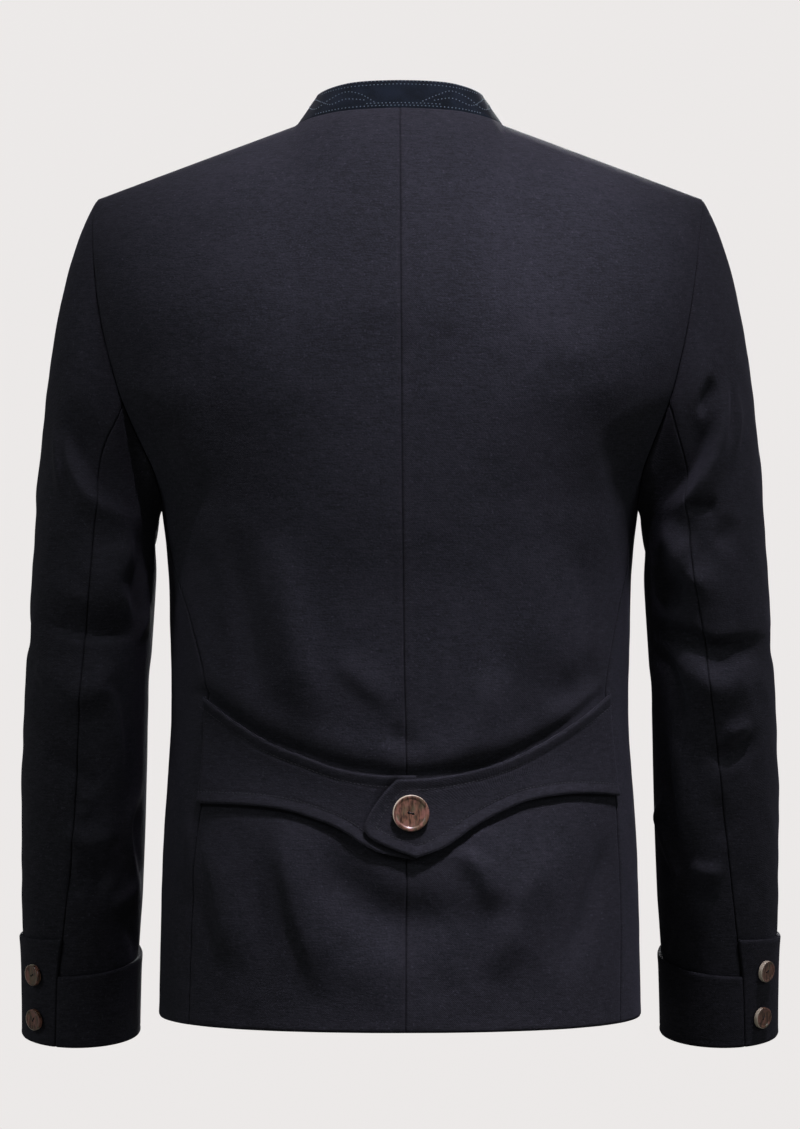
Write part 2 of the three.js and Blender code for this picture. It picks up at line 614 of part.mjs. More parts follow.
function sleeveSurface(side) {
  const loop = armholeLoop(side);
  const turned = (turn) => loop.map((row) => ({ ...row, degrees: row.degrees + turn }));
  const turns = [-360, 0, 360].flatMap(turned);
  const armhole = ["x", "y", "z"].map((key) => through(turns, "degrees", key));
  const folds = ARM_FOLDS[nameOf(side)];
  const topZ = ARM[0].z;
  const endZ = ARM[ARM.length - 1].z;

  const ring = (degrees, z) => {
    const cosine = Math.cos(degToRad(degrees));
    const sine = Math.sin(degToRad(degrees));
    const back = ARM_SHAPE.half_depth(z) * sine;
    const tip = degToRad(ARM_SHAPE.tip(z));
    return new THREE.Vector3(
      ARM_SHAPE.x(z) + ARM_SHAPE.half_width(z) * cosine,
      ARM_SHAPE.y(z) + back * Math.cos(tip),
      z - back * Math.sin(tip),
    );
  };
  const cap = (degrees, t) => {
    const share = (1 + Math.cos(degToRad(degrees))) / 2;
    const flow = (key) => lerp(CAP_FLOW.foot[key], CAP_FLOW.top[key], share);
    const belly = CAP_FLOW.belly * Math.sin(degToRad(degrees));
    const start = new THREE.Vector3(...armhole.map((value) => value(degrees)));
    start.x += SEAM_GAP;
    const leave = new THREE.Vector3(flow("out"), belly, -flow("down"));
    const arrive = new THREE.Vector3(flow("end_out"), 0, -flow("end_down"));
    const bend = t * t * (3 - 2 * t);
    return start.multiplyScalar(1 - bend)
      .addScaledVector(ring(degrees, topZ), bend)
      .addScaledVector(leave, t * (1 - t) ** 2)
      .addScaledVector(arrive, -t * t * (1 - t));
  };
  const point = (degrees, place) => {
    const p = place < CAP_END ? cap(degrees, place) : ring(degrees, lerp(topZ, endZ, place - CAP_END));
    const once = ((degrees + 180) % 360) - 180;
    const wrapped = once < ARM_TURN && degrees > 0 ? once + 360 : once;
    const lift = folded(folds, ARM_GIRTH, wrapped, p.z) * smoothstep(place, 0, FOLDS_FULL);
    p.x += lift * Math.cos(degToRad(degrees));
    p.y += lift * Math.sin(degToRad(degrees));
    p.x *= side;
    return p;
  };
  return { point, step_u: 0.06, below: 1e-3, above: 1e-3, facing: side, loop };
}

// The sleeve's second coordinate at a height above its end
const armPlace = (above) => SLEEVE_END - above / (ARM[0].z - ARM[ARM.length - 1].z);

// Both sleeve pieces share the armhole's points at their top and part along the two seams
function addSleeve(side) {
  const surface = sleeveSurface(side);
  const seam = {
    hind: through(SLEEVE_SEAM, "place", `hind_${nameOf(side)}`),
    fore: through(SLEEVE_SEAM, "place", "fore"),
  };
  const degreesOf = (number) => surface.loop.find((row) => row.number === number).degrees;
  const start = { hind: degreesOf(HIND_LOOP), fore: degreesOf(FORE_LOOP) };
  const rows = [
    ...spread(ROWS.cap, (t) => CAP_END * t),
    ...spread(ROWS.arm, (t) => lerp(CAP_END, SLEEVE_END, t)).slice(1),
  ];
  const settle = (place, key) => lerp(start[key], seam[key](place), smoothstep(place, 0, SEAMS_SETTLED));
  const inOrder = (columns) => columns.sort((a, b) => a.degrees - b.degrees);
  const upper = inOrder(surface.loop.filter((row) => row.degrees >= start.fore && row.degrees <= start.hind));
  const behind = surface.loop.filter((row) => row.degrees >= start.hind);
  const before = surface.loop.filter((row) => row.degrees <= start.fore);
  const under = inOrder([...behind, ...before.map((row) => ({ ...row, degrees: row.degrees + 360 }))]);
  const sheet = (columns, from, to) => rows.map((place) => columns.map((row) => {
    const first = columns[0].degrees;
    const share = (row.degrees - first) / (columns[columns.length - 1].degrees - first);
    return [lerp(from(place), to(place), share), place];
  }));
  const hind = (place) => settle(place, "hind");
  const fore = (place) => settle(place, "fore");
  const foreBeyond = (place) => fore(place) + 360;
  // Where the sleeve falls away from the body panel, its cut edge lies flat against the panel's
  const against = (columns) => (j, normal, next) => {
    const { place } = columns[j];
    const panel = outward(BODY_SURFACE, ...place);
    const fallsAway = next.clone().sub(bodyPoint(...place)).dot(panel) < 0;
    return fallsAway && panel.dot(normal) > TURN_COSINE ? panel : normal;
  };
  const name = nameOf(side);
  addCloth(`upper_sleeve_${name}`, surface, sheet(upper, fore, hind), { inwards: against(upper) });
  addCloth(`under_sleeve_${name}`, surface, sheet(under, hind, foreBeyond), { inwards: against(under) });
  addCuff(`upper_cuff_${name}`, surface, upper, UPPER_CUFF, [fore, hind]);
  addCuff(`under_cuff_${name}`, surface, under, UNDER_CUFF, [hind, foreBeyond]);
  CUFF_BUTTONS[name].forEach((button, i) => {
    const place = [button.degrees, armPlace(button.above_end)];
    addButton(`cuff_button_${name}_${i + 1}`, "cuff", surface, place, `upper_cuff_${name}`);
  });
}

function addCuff(name, surface, columns, heights, [from, to]) {
  const height = through(heights, "share", "height");
  const first = columns[0].degrees;
  const span = columns[columns.length - 1].degrees - first;
  const grid = spread(ROWS.cuff, (t) => columns.map((row) => {
    const share = (row.degrees - first) / span;
    const place = armPlace(height(share) * (1 - t));
    return [lerp(from(place), to(place), share), place];
  }));
  addCloth(name, surface, grid, { thickness: FOLDED_CLOTH, lift: () => FOLDED_CLOTH + 1.5 * SEAM_GAP });
}

// Collar

// The neckline's seam is straight between the panels' columns, and the collar stands on it
function neckPoint(degrees) {
  const side = Math.sign(degrees) || 1;
  const column = Math.min(Math.floor(Math.abs(degrees) / NECK_STEP), 2 * COLUMNS.neck - 1);
  const corner = (number) => {
    const face = number <= COLUMNS.neck ? "back" : "front";
    return bodyPoint(...neckPlace(side, face, number * NECK_STEP));
  };
  return corner(column).lerp(corner(column + 1), Math.abs(degrees) / NECK_STEP - column);
}

function addCollar() {
  const height = through(COLLAR, "angle", "height");
  const lean = through(COLLAR, "angle", "lean");
  const corner = COLLAR_END.corner;
  const rounded = (degrees) => {
    const fromEnd = (COLLAR_END.angle - Math.abs(degrees)) * degToRad(1) * NECK.half_width;
    const missing = clamp(corner - fromEnd, 0, corner);
    return height(Math.abs(degrees)) - corner + Math.sqrt(corner * corner - missing * missing);
  };
  const point = (degrees, share) => {
    const base = neckPoint(degrees);
    const out = degToRad(degrees);
    const inwards = degToRad(lean(Math.abs(degrees)));
    const up = rounded(degrees) * share;
    return base.add(new THREE.Vector3(
      -up * Math.sin(inwards) * Math.sin(out),
      -up * Math.sin(inwards) * Math.cos(out),
      up * Math.cos(inwards),
    ));
  };
  const surface = { point, step_u: 0.5, below: 0.02, above: 0.02, facing: 1 };
  const even = spread(2 * COLUMNS.neck - 1, (_, j) => j * NECK_STEP);
  const side = [...even, ...CORNER_COLUMNS, COLLAR_END.angle];
  const columns = [...side.slice(1).reverse().map((degrees) => -degrees), ...side];
  const grid = spread(ROWS.collar, (t) => columns.map((degrees) => [degrees, t]));
  addCloth("collar", surface, grid, { paint: "suede", thickness: FOLDED_CLOTH });
}

// Belt

// An outline's side as places on the back, evenly stepped along it. `side` is the piece's own side.
function drawnLine(side, rows, count) {
  const points = rows.map((row) => new THREE.Vector3(side * row.x, 0, row.z));
  const path = new THREE.CatmullRomCurve3(points, false, "centripetal");
  return path.getSpacedPoints(count).map((p) => bodyPlace(side, "back", p.x, p.z));
}

function straightLine(from, to, count) {
  return spread(count, (t) => [lerp(from[0], to[0], t), lerp(from[1], to[1], t)]);
}

function addBelt(side, outline, end) {
  const bottom = drawnLine(side, outline.bottom, BELT_COLUMNS);
  const top = drawnLine(side, outline.top, BELT_COLUMNS);
  const inside = end ? drawnLine(side, end, ROWS.belt) : straightLine(bottom[0], top[0], ROWS.belt);
  const seam = straightLine(bottom[BELT_COLUMNS], top[BELT_COLUMNS], ROWS.belt);
  addCloth(`belt_${nameOf(side)}`, BODY_SURFACE, filled(bottom, top, inside, seam), {
    thickness: FOLDED_CLOTH,
    lift: (angle, z) => beltLift(side, angle, z),
    laidOn: ["back_left", "back_right", "side_left", "side_right"],
  });
}

function beltLift(side, angle, z) {
  const x = side * bodyPoint(angle, z).x;
  const share = Math.cos(clamp(x / BELT_DRAW.half_span, -1, 1) * (Math.PI / 2));
  const stand = lerp(BELT_STAND.ends, BELT_STAND.middle, share);
  const climb = side > 0 ? 0 : (FOLDED_CLOTH + SEAM_GAP) * smoothstep(-x, -BELT_OVER.from, -BELT_OVER.to);
  return FOLDED_CLOTH + SEAM_GAP + stand + climb;
}

// Buttons

// A small button is turned from its side view
function turnedButton({ radius, height, sides }) {
  const bevel = SMALL_BEVEL * height;
  const face = height - FACE_DIP.depth;
  const profile = [
    [0, 0],
    [radius - bevel, 0],
    [radius, bevel],
    [radius, height - bevel],
    [radius - bevel, height],
    [FACE_DIP.share * radius, face],
    [0, face],
  ];
  const outline = profile.map(([r, h]) => new THREE.Vector2(r, h));
  return new THREE.LatheGeometry(outline, sides).rotateX(Math.PI / 2);
}

// The large one is a disc with bevelled edges and its two holes
function drilledButton({ radius, height, sides, bevel, hole }) {
  const disc = new THREE.Shape().absarc(0, 0, radius - bevel, 0, 2 * Math.PI);
  for (const x of [-hole.x, hole.x]) {
    disc.holes.push(new THREE.Path().absarc(x, 0, hole.radius, 0, 2 * Math.PI, true));
  }
  return new THREE.ExtrudeGeometry(disc, {
    depth: height - 2 * bevel,
    bevelThickness: bevel,
    bevelSize: bevel,
    bevelSegments: 1,
    curveSegments: sides / 2,
  }).translate(0, 0, bevel);
}

// Seats a button on the piece it is sewn to, its face along the way out, clear of that piece's faces
function addButton(name, kind, surface, place, sewnTo) {
  const facing = outward(surface, ...place);
  const geometry = kind === "belt" ? drilledButton(BUTTON[kind]) : turnedButton(BUTTON[kind]);
  const button = add(name, "horn", geometry);
  const middle = onFaces(surface.point(...place), facing, [sewnTo]);
  button.quaternion.setFromUnitVectors(new THREE.Vector3(0, 0, 1), facing);
  const rise = (r, turn) => {
    const spot = new THREE.Vector3(r * Math.cos(turn), r * Math.sin(turn), 0);
    spot.applyQuaternion(button.quaternion).add(middle);
    return onFaces(spot, facing, [sewnTo]).sub(middle).dot(facing);
  };
  const rises = [0.5, 1].flatMap((share) => (
    spread(SEAT_SAMPLES, (t) => rise(share * BUTTON[kind].radius, 2 * Math.PI * t))
  ));
  button.position.copy(middle).addScaledVector(facing, Math.max(0, ...rises) + SEAM_GAP);
}

function addFrontButtons() {
  FRONT_BUTTONS.z.forEach((z, row) => {
    for (const column of [1, -1]) {
      const place = bodyPlace(1, "front", column * FRONT_BUTTONS.x, z);
      addButton(`front_button_${nameOf(column)}_${row + 1}`, "front", BODY_SURFACE, place, "front_left");
    }
  });
}

for (const side of [1, -1]) {
  addBack(side);
  addSide(side);
  addFront(side);
  addSleeve(side);
}
addCollar();
addBelt(1, LEFT_BELT);
addBelt(-1, RIGHT_BELT, RIGHT_BELT_POINT);
const buttonPlace = bodyPlace(-1, "back", BELT_BUTTON.x, BELT_BUTTON.z);
addButton("belt_button", "belt", BODY_SURFACE, buttonPlace, "belt_right");
addFrontButtons();

export default jacket;
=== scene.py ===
import math

import bpy
import numpy as np
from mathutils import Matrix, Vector


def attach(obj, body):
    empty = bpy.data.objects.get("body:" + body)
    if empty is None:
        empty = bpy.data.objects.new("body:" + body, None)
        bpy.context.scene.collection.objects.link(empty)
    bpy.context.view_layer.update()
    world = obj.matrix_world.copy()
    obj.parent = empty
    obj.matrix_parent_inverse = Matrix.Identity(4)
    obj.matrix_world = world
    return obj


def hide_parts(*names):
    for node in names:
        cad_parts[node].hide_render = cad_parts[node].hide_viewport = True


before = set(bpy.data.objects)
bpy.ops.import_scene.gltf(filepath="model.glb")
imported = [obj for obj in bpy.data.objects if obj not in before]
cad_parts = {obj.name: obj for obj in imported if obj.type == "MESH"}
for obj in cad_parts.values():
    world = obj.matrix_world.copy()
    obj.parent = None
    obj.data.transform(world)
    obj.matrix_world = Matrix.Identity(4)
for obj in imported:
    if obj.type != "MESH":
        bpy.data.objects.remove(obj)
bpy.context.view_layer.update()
MM = 0.001

# The form, in millimetres, from the part's own sizes
CLOTH = 2.0
FOLDED_CLOTH = 2.4
SEAM_GAP = 0.3
FOLDED_KINDS = ("upper_cuff", "under_cuff", "belt", "collar")
# How far each half of the back reaches past the centre seam, so that no light comes through it
SEAM_LAP = 0.08
# The same where the sleeves are set in and along the shoulders
ARMHOLE_LAP = 0.5
SHOULDER_LAP = 0.8
HEM_Z = -671.0
ARMHOLE_FOOT_Z = -282.0
ARMHOLE_FOOT_DIP = 6.0
SHOULDER_X = 229.0
SHOULDER_Z = -56.0
NECK_HALF_WIDTH = 78.0
NECK_BACK_RISE = 7.0
NECK_FRONT_DROP = 80.0
NECK_FRONT_BEND = 1.9
UNDER_NECK_X = 72.0
# How much fuller than an ellipse the body is beside its middle
FULLNESS = 0.15
# The part's own grid: degrees of a column round the neck, the columns of the overlap, the neck and the
# shoulder, and the rows up to the armhole and beside it
NECK_STEP = 15.0
OVERLAP_COLUMNS = 4
OVERLAP = NECK_HALF_WIDTH * math.sin(math.radians(OVERLAP_COLUMNS * NECK_STEP))
NECK_COLUMNS = 6
SHOULDER_COLUMNS = 7
LOW_ROWS = 11
HIGH_ROWS = 10
# Mean radius of the body and of an arm, by which an angle becomes a distance round it
BODY_RADIUS = 160.0
ARM_RADIUS = 57.0

# Height, half width behind and in front, depth behind and in front
BODY = [
    (-671, 182, 182, 138, 136),
    (-560, 179.5, 179.5, 129, 129),
    (-440, 173.4, 173.4, 117, 123),
    (-360, 174, 174, 119, 127),
    (-290, 180, 180, 127, 134),
    (-240, 205, 198, 131, 137),
    (-200, 229, 215, 133, 138),
    (-150, 240, 225, 132, 136),
    (-90, 246, 238, 129, 133),
    (60, 251, 243, 127, 131),
]
# Distance from the middle, height of the neck opening or shoulder line, height over which it rounds
BACK_CROWN = [(0, 36, 190), (40, 29, 190), (64, 14, 190), (78, 0, 188), (150, -26.7, 160), (229, -56, 120)]
FRONT_CROWN = [
    (0, -57, 160),
    (20, -52.4, 168),
    (39, -39.7, 200),
    (55, -24.2, 250),
    (67.5, -11.6, 288),
    (78, 0, 296),
    (100, -8.2, 276),
    (150, -26.7, 215),
    (229, -56, 128),
]
# Height, and how far out the left back, the right back and the fronts reach
PANEL_EDGE = [
    (-671, 156, 163, 163),
    (-600, 154, 164, 162),
    (-514, 148, 161, 159),
    (-430, 144, 153, 157),
    (-375, 155, 161, 162),
    (-325, 171, 172, 172),
    (-282, 179, 178.5, 178),
    (-262, 184, 181.5, 181),
    (-240, 194, 189, 185),
    (-212, 206, 199.5, 197),
    (-185, 214.5, 207, 202),
    (-150, 223, 214.5, 208),
    (-120, 227.5, 219.5, 215),
    (-90, 230, 223.5, 223),
    (-72, 230.5, 226, 227),
    (-56, 229, 229, 229),
]
# Height, and how far the centre back seam lies to the wearer's left
BACK_SEAM = [(-671, -4), (-514, -5), (-400, -3), (-200, -1), (7, 0)]
# Height, centre, half width, half depth and tip of the arm
ARM = [
    (-300, 228.6, 0, 46.6, 67, 0),
    (-354, 231.7, 2, 46.9, 64.5, 1),
    (-419, 235.8, 2, 47, 61, 3),
    (-464, 237.8, -2, 47, 58.5, 5),
    (-522, 239.5, -9, 46.8, 56, 6.5),
    (-580, 241.3, -17, 46, 53.5, 7.5),
    (-606, 242, -21, 44.7, 51.5, 8),
    (-640, 242.6, -26, 43, 49.5, 8),
    (-688, 243.4, -33, 42.2, 48.5, 8),
]
ARM_TOP = -300.0
ARM_END = -688.0
# How the sleeve's cap leaves the armhole and joins the arm, under the arm and at the shoulder's top
CAP_OUT = (3, 95)
CAP_DOWN = (12, 150)
CAP_END_OUT = (0, 16)
CAP_END_DOWN = (20, 230)
CAP_BELLY = 24.0
# Place along the sleeve, hind seam of the left and the right sleeve, fore seam, in degrees
SLEEVE_SEAM = [
    (0, 121, 125, -104),
    (0.5, 102, 115, -112),
    (1, 93, 108, -118),
    (1.3, 89, 97, -120),
    (1.55, 86, 87, -120),
    (1.75, 78, 78, -120),
    (1.87, 71, 71, -120),
    (2, 69, 69, -120),
]
# Rows of the armhole at which the sleeve's hind and fore seams start, and the place along the sleeve from
# which they follow the table above
HIND_ROW = 13
FORE_ROW = 14
SEAM_TURN = 0.75
# Share of the way round a turned-up cuff's piece, and its height there
UPPER_CUFF = [(0, 67), (0.6, 76), (1, 83)]
UNDER_CUFF = [(0, 54), (0.5, 59), (1, 67)]
# How much of the sleeve's folds a cuff takes
CUFF_CREASE = 0.35
# Degrees from the centre back, height of the collar and how far it leans in, in degrees
COLLAR = [(0, 24, 25), (90, 28, 35), (178, 28, 10)]
COLLAR_END = 178.0
COLLAR_CORNER = 11.0
# Edges of the half belt as seen from behind, by distance from the middle and height
LEFT_BELT_TOP = [(-12, -485), (18, -484.5), (45, -480), (71, -471), (97, -461), (122, -446), (144, -429)]
LEFT_BELT_BOTTOM = [
    (-12, -547),
    (14, -542),
    (29, -535),
    (45, -525),
    (66, -517),
    (89, -511),
    (115, -508.5),
    (149, -508),
]
RIGHT_BELT_TOP = [(-3, -488), (28, -486), (59, -480.5), (85, -472), (111, -459), (134, -444), (154, -427)]
RIGHT_BELT_BOTTOM = [(12, -546), (33, -538), (59, -521), (92, -506), (122, -501), (143, -501), (161, -503.5)]
RIGHT_BELT_POINT = [(12, -546), (-10, -538), (-24, -530), (-25.5, -520), (-15, -502), (-3, -488)]
BELT_SPAN = 150.0
BELT_END = 157.0
# Height of the belt's middle line at the centre back, how far it rises to the ends, and how late
BELT_MIDDLE_Z = -515.0
BELT_RISE = 49.0
BELT_BEND = 1.3
# How far the half belt stands off the back at its ends and in the middle
BELT_STAND = (0.5, 1.4)
# From how far to how far from the middle the right piece climbs over the left one
BELT_OVER = (44, 16)
# How deep the half belt draws the back in along its middle, and how far above and below
BELT_PULL = 5.0
BELT_PULL_WIDTH = 34.0
# How deep the back tucks in under the half belt
BELT_TUCK = 1.4
# How deep the cloth is drawn in along the upper edge, how far above it and how widely, and how it blouses
BELT_DRAWN = (1.5, 2, 4)
BELT_BLOUSE = (1.1, 17, 9)
# How far inside the edge the stitches run, the pitch of the stitches, and their length, width and height
BELT_INSET = 8.5
CUFF_INSET = 4.5
STITCH_PITCH = 2.9
STITCH_SIZE = (2.2, 0.5, 0.4)
DOT_PITCH = 2.9
DOT_SIZE = (1.15, 0.8, 0.6)
# How deep the middle of a stitch sits in its piece, and how far a dot's stands off the collar
CUFF_STITCH_SINK = 0.08
BELT_STITCH_SINK = 0.15
DOT_STAND = 0.12
# Distance from the middle, height and turn of the belt's button
BELT_BUTTON = (-8.0, -513.5, -14)
# Heights of the front's buttons, and how far the two columns stand from the middle
FRONT_BUTTON_HEIGHTS = (-122.0, -234.0, -346.0, -458.0)
FRONT_BUTTON_X = 47.0
# Degrees round the arm, and height above its end, of the two buttons of the left and of the right cuff
CUFF_BUTTONS = {1: [(46, 53), (47, 19)], -1: [(47, 56), (51, 21)]}
# How far the buttons of the fronts and the cuffs stand off the cloth, beyond its gap, for their thread
BUTTON_STAND = 0.9

# Past so many widths a fold is too low to count, and over this share of its length each end fades out
FOLD_REACH = 2.6
FOLD_FADE = 0.36
# Folds of the back as seen from behind. Each is a line of (distance to the wearer's left, height), the
# widths on the right and the left hand of one who walks along it in that view, and its height.
BACK_FOLDS = [
    ([(90, -300), (86, -336), (79, -376), (72, -408), (67, -432), (72, -464)], 19, 14, 4.8),
    ([(126, -290), (119, -346), (112, -398), (100, -446)], 14, 14, -2.8),
    ([(150, -300), (142, -360), (134, -424)], 14, 16, -2.0),
    ([(52, -400), (26, -418), (0, -440)], 8, 13, 1.4),
    ([(16, -452), (0, -458), (-14, -470)], 8, 7, -1.0),
    ([(-64, -400), (-60, -436), (-52, -462), (-42, -486)], 9, 17, 2.5),
    ([(-104, -432), (-130, -424), (-154, -402)], 12, 16, -3.2),
    ([(-132, -300), (-140, -360), (-144, -412)], 16, 20, -1.6),
    ([(-92, -310), (-100, -370), (-104, -424)], 22, 22, 1.8),
    ([(166, -168), (157, -200), (151, -236), (149, -284)], 30, 13, 2.4),
    ([(176, -214), (174, -246), (170, -276)], 12, 16, -1.6),
    ([(-152, -226), (-162, -256), (-168, -290)], 13, 16, -3.4),
    ([(-118, -150), (-140, -190), (-148, -226)], 20, 26, 1.2),
    ([(10, -40), (0, -120), (6, -200)], 34, 34, 0.9),
    ([(88, -508), (83, -540), (74, -578), (63, -612), (50, -656)], 10, 24, 5.0),
    ([(70, -522), (56, -546), (38, -568), (8, -588), (-26, -587), (-50, -566)], 18, 18, -4.6),
    ([(48, -616), (14, -630), (-24, -630)], 22, 20, 1.6),
    ([(-40, -522), (-48, -536), (-57, -552), (-66, -570), (-72, -592)], 9, 20, 4.2),
    ([(-34, -524), (-50, -536), (-72, -546)], 7, 8, -2.2),
    ([(-112, -522), (-104, -544), (-88, -576), (-73, -614), (-68, -644)], 10, 22, 4.3),
    ([(-158, -522), (-150, -556), (-138, -596), (-122, -638)], 12, 10, -4.1),
    ([(152, -512), (155, -540), (151, -580)], 5, 12, 2.0),
    ([(144, -524), (136, -556), (128, -592), (119, -636)], 9, 18, 3.8),
    ([(106, -520), (104, -570), (98, -630)], 10, 10, -1.2),
    ([(-8, -590), (-12, -620), (-14, -660)], 16, 16, -1.2),
]
# Folds of the fronts and the sides by degrees round the body
HIDDEN_BODY_FOLDS = [
    ([(150, -230), (158, -350), (163, -480)], 24, 22, 3.4),
    ([(132, -250), (138, -360), (142, -470)], 22, 18, -3.8),
    ([(-150, -220), (-156, -340), (-160, -460)], 22, 24, 3.0),
    ([(-131, -250), (-136, -370), (-140, -500)], 20, 22, -3.8),
    ([(140, -470), (144, -580), (147, -690)], 24, 24, 3.8),
    ([(-142, -480), (-146, -580), (-148, -690)], 22, 24, 3.8),
    ([(120, -196), (132, -240), (150, -268)], 12, 14, -2.4),
    ([(-118, -190), (-134, -238), (-152, -262)], 13, 12, -2.2),
    ([(104, -300), (112, -340), (124, -366)], 10, 12, -2.6),
    ([(-102, -302), (-114, -348), (-128, -372)], 12, 9, -2.8),
    ([(98, -420), (116, -430), (140, -424)], 9, 11, -2.2),
    ([(-96, -428), (-112, -440), (-136, -436)], 10, 9, -2.4),
    ([(92, -372), (90, -430), (94, -486)], 11, 13, -2.0),
    ([(-92, -380), (-89, -436), (-93, -500)], 12, 11, -2.2),
    ([(158, -494), (164, -560), (160, -640)], 12, 13, -2.0),
    ([(-124, -506), (-130, -580), (-128, -660)], 13, 12, -2.4),
    ([(126, -500), (131, -570), (130, -650)], 12, 14, -2.2),
    ([(166, -110), (160, -160), (150, -206)], 16, 14, 1.4),
    ([(-164, -120), (-158, -168), (-149, -210)], 15, 17, 1.5),
]
# Folds of the sleeves as seen from behind, by distance from the middle and height
SEEN_ARM_FOLDS = {
    "left": [
        ([(257, -222), (253, -243), (245, -263), (234, -278), (216, -291), (193, -302)], 12, 5, 2.6),
        ([(260, -212), (247, -236), (230, -258), (208, -278), (188, -291)], 8, 26, -4.6),
        ([(264, -222), (257, -260), (250, -286)], 6, 4, 1.8),
        ([(259, -232), (251, -262), (240, -284)], 4, 4, -1.6),
        ([(209, -296), (201, -320), (211, -344), (202, -366), (200, -388)], 19, 6, 3.2),
        ([(196, -296), (190, -326), (194, -352), (188, -376)], 9, 12, -4.2),
        ([(262, -308), (252, -330), (246, -344)], 8, 7, -1.6),
        ([(252, -352), (240, -356), (230, -366)], 6, 7, 1.2),
        ([(278, -374), (250, -380), (222, -384), (190, -384)], 4, 17, -4.8),
        ([(272, -394), (258, -416), (240, -430), (222, -422), (201, -394)], 9, 18, 3.0),
        ([(275, -404), (268, -414), (262, -426)], 4, 5, 1.4),
        ([(199, -392), (210, -404), (223, -420), (213, -434), (209, -470), (208, -508)], 16, 5, 2.6),
        ([(184, -366), (190, -378), (197, -392)], 5, 4, 1.8),
        ([(268, -470), (256, -476), (240, -488), (222, -500)], 8, 9, -2.4),
        ([(242, -504), (234, -506), (226, -510)], 3, 4, 1.3),
        ([(243, -512), (235, -515), (229, -519)], 3, 3, 1.1),
        ([(244, -494), (240, -506), (238, -520)], 3, 3, -1.0),
        ([(262, -530), (240, -538), (224, -538), (206, -526)], 6, 11, 2.2),
        ([(240, -548), (226, -562), (214, -574)], 15, 12, -2.6),
        ([(191, -500), (203, -524), (199, -562), (191, -574)], 6, 5, 3.0),
        ([(190, -570), (204, -580), (220, -594)], 6, 9, 2.6),
        ([(247, -546), (247, -566), (244, -586)], 4, 4, -1.2),
        ([(206, -600), (200, -616), (198, -632)], 7, 8, -1.6),
    ],
    "right": [
        ([(-257, -184), (-250, -214), (-240, -238), (-228, -263), (-215, -282), (-196, -298)], 5, 14, 3.6),
        ([(-262, -190), (-255, -220), (-246, -248)], 4, 4, -1.7),
        ([(-264, -200), (-260, -226), (-252, -252)], 5, 5, 1.6),
        ([(-248, -192), (-236, -206), (-222, -221)], 5, 8, -3.0),
        ([(-244, -212), (-228, -238), (-208, -266), (-186, -288)], 22, 8, -4.4),
        ([(-238, -286), (-224, -288), (-210, -290)], 4, 6, -2.0),
        ([(-190, -306), (-204, -318), (-220, -330)], 12, 12, 3.0),
        ([(-192, -322), (-212, -338), (-224, -350), (-216, -360)], 6, 13, 3.0),
        ([(-186, -344), (-200, -350), (-216, -352)], 11, 9, -4.0),
        ([(-250, -296), (-244, -308), (-238, -322)], 8, 7, -1.7),
        ([(-186, -378), (-214, -384), (-233, -392), (-254, -390), (-280, -388)], 18, 4, -4.8),
        ([(-200, -384), (-213, -404), (-237, -423), (-256, -410), (-271, -394)], 15, 13, 3.2),
        ([(-186, -394), (-202, -412), (-208, -440), (-206, -474)], 8, 6, -3.0),
        ([(-203, -424), (-205, -476), (-209, -508), (-216, -556)], 5, 15, 2.2),
        ([(-238, -456), (-250, -455), (-264, -450)], 10, 6, 2.0),
        ([(-224, -474), (-242, -472), (-256, -466), (-270, -458)], 9, 6, -2.8),
        ([(-214, -556), (-228, -561), (-244, -560)], 9, 5, 2.2),
        ([(-212, -572), (-226, -578), (-240, -576)], 8, 8, -2.0),
        ([(-190, -490), (-197, -508), (-192, -522), (-200, -546), (-207, -566), (-193, -584)], 5, 6, 3.0),
        ([(-232, -500), (-240, -520), (-243, -545)], 9, 9, -1.1),
        ([(-206, -600), (-200, -616), (-198, -634)], 8, 7, -1.6),
    ],
}
# Folds on the hidden parts of the sleeves, by degrees round the arm
HIDDEN_ARM_FOLDS = {
    "left": [
        ([(-24, -378), (-80, -402), (-150, -428)], 11, 15, -4.2),
        ([(-30, -398), (-80, -424), (-140, -442)], 14, 13, 2.4),
        ([(-40, -470), (-90, -488), (-140, -498)], 14, 11, -3.2),
        ([(-20, -214), (-56, -262), (-96, -290)], 14, 15, -3.4),
        ([(8, -250), (-20, -290), (-60, -318)], 14, 12, 2.4),
        ([(24, -380), (4, -386), (-24, -380)], 10, 12, -2.6),
        ([(-60, -330), (-96, -352), (-130, -362)], 10, 13, -2.6),
        ([(-100, -520), (-124, -560), (-118, -600)], 12, 12, -2.4),
        ([(10, -470), (-8, -500), (-14, -540)], 12, 12, 1.6),
        ([(170, -300), (190, -322), (214, -330)], 8, 10, -3.0),
        ([(176, -400), (196, -430), (200, -476)], 11, 12, -3.0),
    ],
    "right": [
        ([(-26, -390), (-84, -412), (-146, -440)], 12, 14, -4.2),
        ([(-34, -410), (-84, -434), (-136, -452)], 13, 14, 2.2),
        ([(-44, -480), (-92, -498), (-140, -510)], 12, 13, -3.2),
        ([(-22, -200), (-58, -250), (-98, -284)], 15, 13, -3.6),
        ([(6, -240), (-22, -282), (-60, -312)], 12, 14, 2.2),
        ([(22, -386), (4, -392), (-26, -390)], 12, 10, -2.6),
        ([(-56, -322), (-92, -344), (-128, -356)], 12, 11, -2.8),
        ([(-98, -530), (-122, -566), (-120, -606)], 11, 13, -2.2),
        ([(12, -476), (-6, -508), (-10, -548)], 13, 12, 1.5),
        ([(170, -304), (190, -328), (216, -334)], 9, 10, -3.0),
        ([(178, -408), (196, -440), (202, -484)], 12, 11, -3.0),
    ],
}


